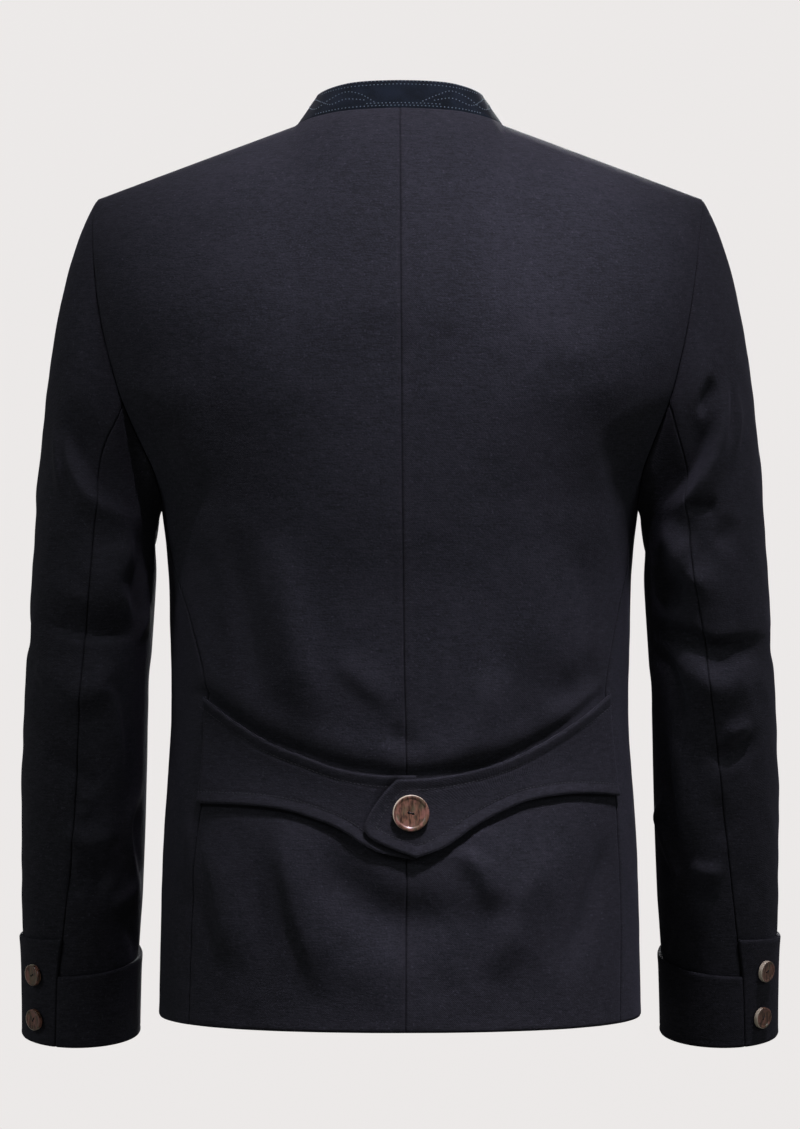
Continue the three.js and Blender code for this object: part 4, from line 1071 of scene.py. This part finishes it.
def horn_finish():
    """Polished horn: a streaked brown face inside a cream rim."""
    finish = Finish("horn")
    face = finish.node("ShaderNodeUVMap", {"uv_map": "face"})
    x = finish.node("ShaderNodeSeparateXYZ", {}, {0: face})
    y = Value(finish, x.socket.node.outputs[1])
    place = finish.node("ShaderNodeTexCoord", output=3)
    wander = finish.noise(place, (5, 5, 11), 3.0)
    streak = finish.noise(place, (1.1, 1.1, 9), 3.0)
    patch = finish.noise(place, (4, 4, 7), 2.0)
    spread = finish.stretch(streak, 0.36, 0.66)
    brown = finish.mix(spread, (0.035, 0.014, 0.008, 1), (0.19, 0.095, 0.058, 1))
    pink = finish.mix(finish.stretch(patch, 0.48, 0.6) * 0.75, brown, (0.25, 0.11, 0.085, 1))
    green = finish.mix(finish.stretch(wander, 0.52, 0.64) * 0.6, pink, (0.085, 0.085, 0.045, 1))
    away = ((x - 0.05) * (x - 0.05) + (y + 0.03) * (y + 0.03)) ** 0.5
    rim = finish.stretch(away + wander * 0.03, 0.905, 0.93)
    cream = finish.mix(streak, (0.40, 0.33, 0.24, 1), (0.62, 0.55, 0.43, 1))
    return finish.set(
        Base_Color=finish.mix(rim, green, cream),
        Roughness=0.24 + streak * 0.12,
        Normal=finish.bump(streak, 0.05),
        Coat_Weight=0.25,
        Coat_Roughness=0.15,
    )


WOOL = wool_finish(
    "body_wool",
    dark=(0.0088, 0.0091, 0.0112, 1),
    light=(0.0208, 0.0207, 0.0262, 1),
    fleck=(0.036, 0.035, 0.046, 1),
)
COLLAR_CLOTH = collar_finish()
DARK_THREAD = thread_finish("dark_thread", (0.012, 0.012, 0.015, 1))
PALE_THREAD = thread_finish("pale_thread", (0.13, 0.17, 0.19, 1))
HORN = horn_finish()


# Stitches


def one_stitch():
    """The vertices and faces of one stitch, a short thick thread of length, width and height 1."""
    bpy.ops.object.select_all(action="DESELECT")
    bpy.ops.mesh.primitive_uv_sphere_add(segments=8, ring_count=5, radius=0.5, location=(0, 0, 0))
    ball = bpy.context.object
    corners = np.array([vertex.co[:] for vertex in ball.data.vertices])
    faces = [list(face.vertices) for face in ball.data.polygons]
    bpy.data.objects.remove(ball)
    return corners, faces


STITCH, STITCH_FACES = one_stitch()


def sewn_row(name, line, out, pitch, size, finish):
    """A row of stitches, one for each `pitch` millimetres of a line of points. `out` is the way the
    cloth faces at each, and `size` a stitch's length, width and height."""
    run = steps_along(line)
    count = max(1, round(run[-1] / pitch))
    middles = (np.arange(count) + 0.5) * run[-1] / count
    along = unit(at_steps(middles + 0.4, run, line) - at_steps(middles - 0.4, run, line))
    aside = unit(np.cross(at_steps(middles, run, out), along))
    ways = np.stack([along, aside, np.cross(along, aside)], axis=1)
    shape = STITCH * np.array(size)
    points = at_steps(middles, run, line)[:, None] + np.einsum("vk,nkx->nvx", shape, ways)
    mesh = bpy.data.meshes.new(name)
    faces = [[i * len(STITCH) + corner for corner in face] for i in range(count) for face in STITCH_FACES]
    mesh.from_pydata((points.reshape(-1, 3) * MM).tolist(), [], faces)
    mesh.materials.append(finish)
    row = add_piece(name, mesh)
    bpy.ops.object.shade_smooth()
    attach(row, "root")


# Small steps in angle and height on the body, and in degrees and place along a sleeve
BODY_STEPS = (1e-3, 0.5)
ARM_STEPS = (0.3, 2e-3)


def ways_out(form, places, step_u, step_v):
    """The way out of a form at each (u, v), up to its sign."""
    u = places[:, 0]
    v = places[:, 1]
    across = form(u + step_u, v) - form(u - step_u, v)
    up = form(u, v + step_v) - form(u, v - step_v)
    return unit(np.cross(across, up))


# Body panels


def under_shoulder_line(piece):
    """Brings down what the wall's thickness pushes past the shoulder line, where cloth turns sharply."""
    corners = np.empty(len(piece.data.vertices) * 3)
    piece.data.vertices.foreach_get("co", corners)
    corners = corners.reshape(-1, 3)
    away = np.abs(corners[:, 0]) / MM
    line = BACK.crown(away) * MM
    over = (away > NECK_HALF_WIDTH + 2) & (corners[:, 2] > line)
    corners[over, 2] = line[over]
    piece.data.vertices.foreach_set("co", corners.ravel())
    piece.data.update()


def body_cloth(name, places, edges, lift=0.0):
    """A body panel. `edges` gives the shape of its first and last column and first and last row."""
    points = body_point(places[..., 0], places[..., 1])
    distances = edge_distances(points)
    dips = sum(shape(distance) for shape, distance in zip(edges, distances))
    relief = lift + np.maximum(dips, -1.0)
    # Painted shade follows the panel's seams
    shade_distance = np.min([distance for shape, distance in zip(edges, distances) if shape is seam], axis=0)
    under_shoulder_line(cloth(name, points, out_of_body(points), relief, shade_distance))


def front_lift(places):
    """How far the left front stands off the form where it lies over the right one."""
    x = body_point(places[..., 0], places[..., 1])[..., 0]
    return (CLOTH + 2 * SEAM_GAP) * smooth(-x, -OVERLAP - 7, -OVERLAP - 0.5)


for side in (1, -1):
    back, panel, front = (f"{part}_{side_name(side)}" for part in ("back", "side", "front"))
    body_cloth(back, back_places(side), (seam, seam, fold_edge, shoulder_seam))
    body_cloth(panel, side_places(side), (seam, seam, fold_edge, seam))
    places = front_places(side)
    lift = front_lift(places) if side > 0 else 0.0
    edges = (fold_edge, seam, fold_edge, shoulder_seam)
    body_cloth(front, places, edges, lift)


# Sleeves and cuffs

SLEEVES = {1: Sleeve(1), -1: Sleeve(-1)}


def sleeve_cloth(side, part, columns):
    sleeve = SLEEVES[side]
    places = sleeve.places(part, columns)
    points = sleeve.point(places[..., 0], places[..., 1])
    first, last, top, end = edge_distances(points)
    relief = seam(first) + seam(last) + seam(top) + fold_edge(end)
    # Painted shade follows the sleeve's seams and the armhole
    shade_distance = np.min([first, last, top], axis=0)
    cloth(f"{part}_sleeve_{side_name(side)}", points, out_of_arm(points, side), relief, shade_distance)


def cuff_cloth(side, part, heights, columns):
    """A turned-up cuff's piece over the sleeve's, and the stitches below its upper edge."""
    sleeve = SLEEVES[side]
    places = sleeve.cuff_places(part, heights, columns)
    points = sleeve.under_cuff(places[..., 0], places[..., 1])
    first, last, low, high = edge_distances(points)
    lift = FOLDED_CLOTH + 1.5 * SEAM_GAP
    relief = lift + seam(first) + seam(last) + fold_edge(low) + fold_edge(high)
    relief += stitched(high, CUFF_INSET) * 0.6
    name = f"{part}_cuff_{side_name(side)}"
    # Painted shade along the side seams, and a painted shadow line along the upper edge where the cuff meets
    # the sleeve
    shade_distance = np.minimum(np.minimum(first, last), high / 2)
    cloth(name, points, out_of_arm(points, side), relief, shade_distance)
    start, end = sleeve.edges(part)
    share = np.linspace(0.02, 0.98, 80)
    place = place_above_end(curve(heights, 1)(share) - CUFF_INSET)
    row = np.stack([mixed(start(place), end(place), share), place], axis=1)
    out = ways_out(sleeve.under_cuff, row, *ARM_STEPS)
    line = sleeve.under_cuff(row[:, 0], row[:, 1])
    out = out * np.sign((out * out_of_arm(line, side)).sum(axis=1, keepdims=True))
    seat = line + out * (lift - CUFF_STITCH_SINK)
    sewn_row(f"{name}_stitches", seat, out, STITCH_PITCH, STITCH_SIZE, DARK_THREAD)


for side in (1, -1):
    sleeve_cloth(side, "upper", 70)
    sleeve_cloth(side, "under", 52)
    cuff_cloth(side, "upper", UPPER_CUFF, 62)
    cuff_cloth(side, "under", UNDER_CUFF, 44)


# Collar


def collar_point(degrees, share):
    degrees, share = np.broadcast_arrays(degrees, share)
    away = np.abs(degrees)
    side = np.where(degrees < 0, -1.0, 1.0)
    back = neck_line(1, BACK, np.minimum(away, 90))
    front = neck_line(1, FRONT, np.maximum(away, 90))
    place = np.where((away <= 90)[..., None], back, front)
    base = body_point(place[..., 0] * side, place[..., 1])
    from_end = np.radians(COLLAR_END - away) * NECK_HALF_WIDTH
    missing = np.clip(COLLAR_CORNER - from_end, 0, COLLAR_CORNER)
    height = curve(COLLAR, 1)(away) - COLLAR_CORNER + np.sqrt(COLLAR_CORNER**2 - missing**2)
    out = np.radians(degrees)
    lean = np.radians(curve(COLLAR, 2)(away))
    up = height * share
    rise = [-up * np.sin(lean) * np.sin(out), -up * np.sin(lean) * np.cos(out), up * np.cos(lean)]
    return base + np.stack(rise, axis=-1)


def collar_cloth():
    step = 1.5
    columns = spaced(2 * COLLAR_END / step, 1, 2, 2) * step - COLLAR_END
    rows = spaced(14, 1, 2, 2) / 14
    points = collar_point(columns[None, :], rows[:, None])
    first, last, low, high = edge_distances(points)
    relief = fold_edge(first) + fold_edge(last) + shoulder_seam(low) + fold_edge(high)
    cloth("collar", points, out_of_body(points), relief, low)


collar_cloth()

# The collar's dotted rows, each a line of (degrees from the centre back, share of its height)
COLLAR_ROWS = {
    "top": [(-172, 0.95), (-90, 0.95), (0, 0.95), (90, 0.95), (172, 0.95)],
    "top_inner": [(-62, 0.84), (-30, 0.83), (0, 0.84), (28, 0.82), (66, 0.84)],
    "foot": [(-52, 0.08), (-20, 0.08), (0, 0.08), (24, 0.08), (56, 0.08)],
    "foot_inner": [(-24, 0.17), (0, 0.17), (20, 0.17)],
    "wave_left": [(14, 0.2), (24, 0.52), (36, 0.66), (48, 0.5), (58, 0.3), (70, 0.42), (84, 0.62)],
    "wave_right": [(-12, 0.22), (-23, 0.5), (-34, 0.68), (-47, 0.52), (-56, 0.28), (-69, 0.4), (-82, 0.64)],
    "arc_left": [(20, 0.3), (34, 0.4), (44, 0.3), (56, 0.5), (74, 0.74), (92, 0.6)],
    "arc_right": [(-19, 0.28), (-32, 0.42), (-45, 0.28), (-58, 0.52), (-73, 0.76), (-90, 0.58)],
}


def collar_rows():
    for name, line in COLLAR_ROWS.items():
        row = eased(line, 160)
        at = collar_point(row[:, 0], row[:, 1])
        out = ways_out(collar_point, row, 0.5, 0.02)
        out = out * np.sign((out * out_of_body(at)).sum(axis=1, keepdims=True))
        seat = at + out * DOT_STAND
        sewn_row(f"collar_dots_{name}", seat, out, DOT_PITCH, DOT_SIZE, PALE_THREAD)


collar_rows()

# Half belt


def belt_lift(x, side):
    """How far a belt piece's outer face stands off the body's form."""
    out = side * x
    middle = np.cos(np.clip(out / BELT_SPAN, -1, 1) * math.pi / 2)
    climb = 0.0
    if side < 0:
        climb = (FOLDED_CLOTH + SEAM_GAP) * smooth(-out, -BELT_OVER[0], -BELT_OVER[1])
    return FOLDED_CLOTH + SEAM_GAP + mixed(*BELT_STAND, middle) + climb


def belt_line(side, line, count):
    points = evenly(eased([(side * x, z) for x, z in line], 160), count)
    return body_places(side, BACK, points[:, 0], points[:, 1])


def distance_to(points, line):
    """How far each point of a grid is from a line of points."""
    flat = points.reshape(-1, 3)
    nearest = np.full(len(flat), 1e9)
    for at in line:
        nearest = np.minimum(nearest, np.linalg.norm(flat - at, axis=1))
    return nearest.reshape(points.shape[:2])


def flat_body(angle, z):
    return body_point(angle, z, 0)


def out_of_back(places):
    out = ways_out(flat_body, places, *BODY_STEPS)
    return out * np.sign(out[:, 1:2])


def belt_stitches(name, side, line, edge, middle):
    """Stitches along one edge of a belt piece. `edge` is the piece's whole outline."""
    at = flat_body(line[:, 0], line[:, 1])
    out = out_of_back(line)
    inwards = unit(np.cross(out, np.gradient(at, axis=0)))
    inwards *= np.sign((inwards * (middle - at)).sum(axis=1).mean())
    moved = at + inwards * BELT_INSET
    clear = np.array([np.linalg.norm(edge - point, axis=1).min() for point in moved]) > BELT_INSET - 0.25
    x = moved[clear, 0]
    z = moved[clear, 2]
    row = body_places(side, BACK, x, z)
    out = out_of_back(row)
    seat = flat_body(row[:, 0], row[:, 1]) + out * (belt_lift(x, side) - BELT_STITCH_SINK)[:, None]
    sewn_row(name, seat, out, STITCH_PITCH, STITCH_SIZE, DARK_THREAD)


def belt_cloth(side, top, bottom, end):
    across = spaced(84, 1, 2.1, 2.1) / 84
    up = spaced(30, 1, 2.1, 2.1) / 30
    fine = 900
    low = belt_line(side, bottom, fine)
    high = belt_line(side, top, fine)
    if end:
        inside = belt_line(side, end, fine)
    else:
        inside = mixed(low[0], high[0], np.linspace(0, 1, fine)[:, None])
    seam_end = mixed(low[-1], high[-1], np.linspace(0, 1, fine)[:, None])

    def pick(line, share):
        return np.stack([np.interp(share, np.linspace(0, 1, fine), line[:, k]) for k in (0, 1)], axis=1)

    places = filled(pick(low, across), pick(high, across), pick(inside, up), pick(seam_end, up), across, up)
    base = flat_body(places[..., 0], places[..., 1])
    lift = belt_lift(base[..., 0], side)
    edge = np.concatenate([line[::3] for line in (low, high, inside)])
    around = distance_to(base, flat_body(edge[:, 0], edge[:, 1]))
    _, last, _, _ = edge_distances(base)
    relief = lift + fold_edge(around) + stitched(around, BELT_INSET) + seam(last)
    # Painted shade along the seam at the belt piece's end
    shaded = last
    if not end:
        # The left piece dips beside the right piece's point, which lies over it, and gets painted shadow
        # there
        point = belt_line(-1, RIGHT_BELT_POINT, 200)
        beside = distance_to(base, flat_body(point[:, 0], point[:, 1]))
        relief = relief - 0.9 * bell(beside, 3)
        shaded = np.minimum(last, 0.25 + beside / 3)
    name = f"belt_{side_name(side)}"
    cloth(name, base, out_of_body(base), relief, shaded)
    rows = {"lower": low, "upper": high}
    if end:
        rows["end"] = inside
    edge = np.concatenate([flat_body(line[:, 0], line[:, 1]) for line in rows.values()])
    middle = base.reshape(-1, 3).mean(axis=0)
    for row, line in rows.items():
        belt_stitches(f"{name}_{row}_stitches", side, line, edge, middle)


belt_cloth(1, LEFT_BELT_TOP, LEFT_BELT_BOTTOM, None)
belt_cloth(-1, RIGHT_BELT_TOP, RIGHT_BELT_BOTTOM, RIGHT_BELT_POINT)

# Buttons

# Radius, height, width of a hole, distance between the holes, and how far out the horn is dark
BUTTONS = {
    "belt": (13.3, 4.2, 2.0, 3.3, 0.93),
    "front": (11.0, 3.6, 1.8, 3.0, 0.92),
    "cuff": (8.0, 3.2, 1.5, 2.4, 0.93),
}
# How far out the horn of every button is dark on the face's map
DARK_ON_MAP = 0.85
# The face's flat rim, the slope inside it and the dished middle: their widths as shares of the radius, and
# how far they go up, as shares of the height
FACE_STEPS = [(0.16, 0), (0.07, -0.16), (0.35, -0.03)]


def cylinder(vertices, radius, height, x, z):
    """A new cylinder with its middle at x and z, all in millimetres."""
    bpy.ops.object.select_all(action="DESELECT")
    bpy.ops.mesh.primitive_cylinder_add(
        vertices=vertices, radius=radius * MM, depth=height * MM, location=(x * MM, 0, z * MM)
    )
    return bpy.context.object


def turned_button(kind):
    """Turns a slice of horn on its back at the origin, hollows its face and drills two thread holes."""
    radius, height, hole, apart, _ = BUTTONS[kind]
    button = cylinder(72, radius, height, 0, height / 2)
    bpy.ops.object.transform_apply(location=True)
    bpy.ops.object.mode_set(mode="EDIT")
    bpy.ops.mesh.select_all(action="DESELECT")
    bpy.ops.object.mode_set(mode="OBJECT")
    for face in button.data.polygons:
        face.select = face.normal.z > 0.9
    bpy.ops.object.mode_set(mode="EDIT")
    bpy.ops.mesh.select_mode(type="FACE")
    for width, rise in FACE_STEPS:
        bpy.ops.mesh.inset(thickness=width * radius * MM, depth=rise * height * MM)
    bpy.ops.object.mode_set(mode="OBJECT")
    bevel = button.modifiers.new("bevel", "BEVEL")
    bevel.width = 0.12 * height * MM
    bevel.segments = 3
    bevel.limit_method = "ANGLE"
    bevel.angle_limit = math.radians(30)
    bpy.ops.object.modifier_apply(modifier="bevel")
    for x in (-apart / 2, apart / 2):
        drill = cylinder(20, hole / 2, 4 * height, x, 0)
        select_only(button)
        bore = button.modifiers.new("bore", "BOOLEAN")
        bore.operation = "DIFFERENCE"
        bore.solver = "EXACT"
        bore.object = drill
        bpy.ops.object.modifier_apply(modifier="bore")
        bpy.data.objects.remove(drill)
    return button


def sewn_button(name, pattern, kind, middle, out, turn=0.0):
    """A copy of a button, seated at a point in millimetres with its face towards `out`."""
    radius, height, _, apart, dark = BUTTONS[kind]
    scale = DARK_ON_MAP / dark
    out = Vector(out).normalized()
    up = (Vector((0, 0, 1)) - out * out.z).normalized()
    right = up.cross(out)
    across = right * math.cos(turn) + up * math.sin(turn)
    upwards = out.cross(across)
    mesh = pattern.data.copy()
    mesh.name = name
    layer = mesh.uv_layers.get("face") or mesh.uv_layers.new(name="face")
    local = [vertex.co.copy() for vertex in mesh.vertices]
    for loop in mesh.loops:
        at = local[loop.vertex_index]
        layer.data[loop.index].uv = (at.x * scale / (radius * MM), at.y * scale / (radius * MM))
    for vertex, at in zip(mesh.vertices, local):
        vertex.co = Vector(middle) * MM + across * at.x + upwards * at.y + out * at.z
    mesh.materials.clear()
    mesh.materials.append(HORN)
    button = add_piece(f"{name}_horn", mesh)
    bpy.ops.object.shade_smooth_by_angle(angle=math.radians(30))
    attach(button, "root")
    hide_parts(name)
    face = Vector(middle) + out * (0.81 * height)
    ends = np.array([face - across * apart / 2, face, face + across * apart / 2])
    size = (apart + 1.0, 1.0, 0.9)
    sewn_row(f"{name}_thread", ends, np.array([out] * 3), apart, size, DARK_THREAD)


def seat_on(form, u, v, steps, outwards, stand):
    """The place of a button that stands so far off a form, and the way out there."""
    at = form(u, v)
    out = ways_out(form, np.array([[u, v]]), *steps)[0]
    out = out * np.sign((out * outwards).sum())
    return at + out * stand, out


def add_buttons():
    patterns = {kind: turned_button(kind) for kind in BUTTONS}
    x, z, turn = BELT_BUTTON
    angle = float(body_angle(-1, BACK, x, z))
    stand = float(belt_lift(x, -1)) + SEAM_GAP
    seat, out = seat_on(flat_body, angle, z, BODY_STEPS, (0, 1, 0), stand)
    sewn_button("belt_button", patterns["belt"], "belt", seat, out, math.radians(turn))
    stand = CLOTH + 2 * SEAM_GAP + BUTTON_STAND
    for row, z in enumerate(FRONT_BUTTON_HEIGHTS):
        for column in (1, -1):
            angle = float(body_angle(1, FRONT, column * FRONT_BUTTON_X, z))
            seat, out = seat_on(body_point, angle, z, BODY_STEPS, (0, -1, 0), stand)
            name = f"front_button_{side_name(column)}_{row + 1}"
            sewn_button(name, patterns["front"], "front", seat, out, 0.3 * row)
    stand = FOLDED_CLOTH + 1.5 * SEAM_GAP + BUTTON_STAND
    for side, pair in CUFF_BUTTONS.items():
        for number, (degrees, above) in enumerate(pair, start=1):
            place = place_above_end(above)
            seat, out = seat_on(SLEEVES[side].under_cuff, degrees, place, ARM_STEPS, (side, 0, 0), stand)
            name = f"cuff_button_{side_name(side)}_{number}"
            sewn_button(name, patterns["cuff"], "cuff", seat, out, 0.5 * number)
    for pattern in patterns.values():
        bpy.data.objects.remove(pattern)


add_buttons()

# Stage, light and camera, in metres

FLOOR_Z = -1.3
COVE_RADIUS = 11.5
CAMERA_PLACE = (0, 3.3, -0.3315)
SENSOR_HEIGHT = 36
LENS_LENGTH = 139.2
PLAIN = (1, 1, 1)
COOL = (0.93, 1.0, 1.05)
WARM = (1.0, 0.94, 1.12)
# Name, place, aim, size, degrees of a beam, power and colour
LAMPS = [
    ("high_beam", (-0.3, 1.6, 3.0), (-0.02, 0.08, 0.0), 0.2, 4.2, 2900, WARM),
    ("low_beam", (-0.7, 1.25, 2.9), (-0.05, 0.12, -0.7), 0.2, 5.8, 1600, WARM),
    ("steep_key", (-0.7, 0.6, 3.0), (0, 0.05, -0.35), 0.5, None, 36, WARM),
    ("front_key", (-0.4, -3.0, 0.9), (0, -0.03, -0.3), 1.0, None, 130, PLAIN),
    ("fill_left", (2.7, 1.8, 1.5), (0, 0, -0.35), 0.8, None, 20, COOL),
    ("fill_right", (-2.8, 1.7, 1.0), (0, 0, -0.35), 0.8, None, 14, COOL),
]
WORLD_COLOUR = (1, 0.99, 0.98, 1)
WORLD_STRENGTH = 0.15


def pale_finish():
    """A pale studio sheet that glows evenly, so that it shows no shadow."""
    finish = Finish("pale_studio")
    place = finish.node("ShaderNodeTexCoord", output=3)
    drift = finish.noise(place, (4000, 4000, 4000), 1.0)
    colour = finish.mix(drift, (0.832, 0.809, 0.801, 1), (0.844, 0.821, 0.813, 1))
    return finish.set(
        Base_Color=(0, 0, 0, 1),
        Emission_Color=colour,
        Emission_Strength=1.0,
        Specular_IOR_Level=0.0,
    )


def add_stage():
    pale = pale_finish()
    bpy.ops.object.select_all(action="DESELECT")
    bpy.ops.mesh.primitive_circle_add(vertices=96, radius=12, fill_type="NGON", location=(0, 0, FLOOR_Z))
    floor = bpy.context.object
    floor.name = "floor"
    bpy.ops.object.transform_apply(location=True)
    bpy.ops.object.select_all(action="DESELECT")
    bpy.ops.mesh.primitive_uv_sphere_add(segments=48, ring_count=24, radius=COVE_RADIUS, location=(0, 0, 0))
    cove = bpy.context.object
    cove.name = "cove"
    bpy.ops.object.transform_apply(location=True)
    for piece in (floor, cove):
        piece.data.materials.append(pale)
        piece.visible_diffuse = False
        piece.visible_glossy = False
        piece.visible_shadow = False


def add_lamp(name, place, aim, size, degrees, power, colour):
    """A soft disk of light, or a narrow beam where it is given degrees."""
    lamp = bpy.data.lights.new(name, "SPOT" if degrees else "AREA")
    if degrees:
        lamp.shadow_soft_size = size
        lamp.spot_size = math.radians(degrees)
        lamp.spot_blend = 1.0
    else:
        lamp.shape = "DISK"
        lamp.size = size
    lamp.energy = power
    lamp.color = colour
    light = bpy.data.objects.new(name, lamp)
    light.location = place
    light.rotation_euler = (Vector(aim) - Vector(place)).to_track_quat("-Z", "Y").to_euler()
    bpy.context.scene.collection.objects.link(light)


def add_camera():
    lens = bpy.data.cameras.new("camera")
    lens.sensor_fit = "VERTICAL"
    lens.sensor_height = SENSOR_HEIGHT
    lens.lens = LENS_LENGTH
    lens.clip_end = 60
    camera = bpy.data.objects.new("camera", lens)
    camera.location = CAMERA_PLACE
    camera.rotation_euler = (math.pi / 2, 0, math.pi)
    bpy.context.scene.collection.objects.link(camera)
    bpy.context.scene.camera = camera


add_stage()
for lamp in LAMPS:
    add_lamp(*lamp)
add_camera()
world = bpy.data.worlds.new("studio")
world.use_nodes = True
sky = world.node_tree.nodes["Background"]
sky.inputs["Color"].default_value = WORLD_COLOUR
sky.inputs["Strength"].default_value = WORLD_STRENGTH
bpy.context.scene.world = world
bpy.context.scene.view_settings.view_transform = "Standard"
bpy.context.scene.view_settings.look = "None"
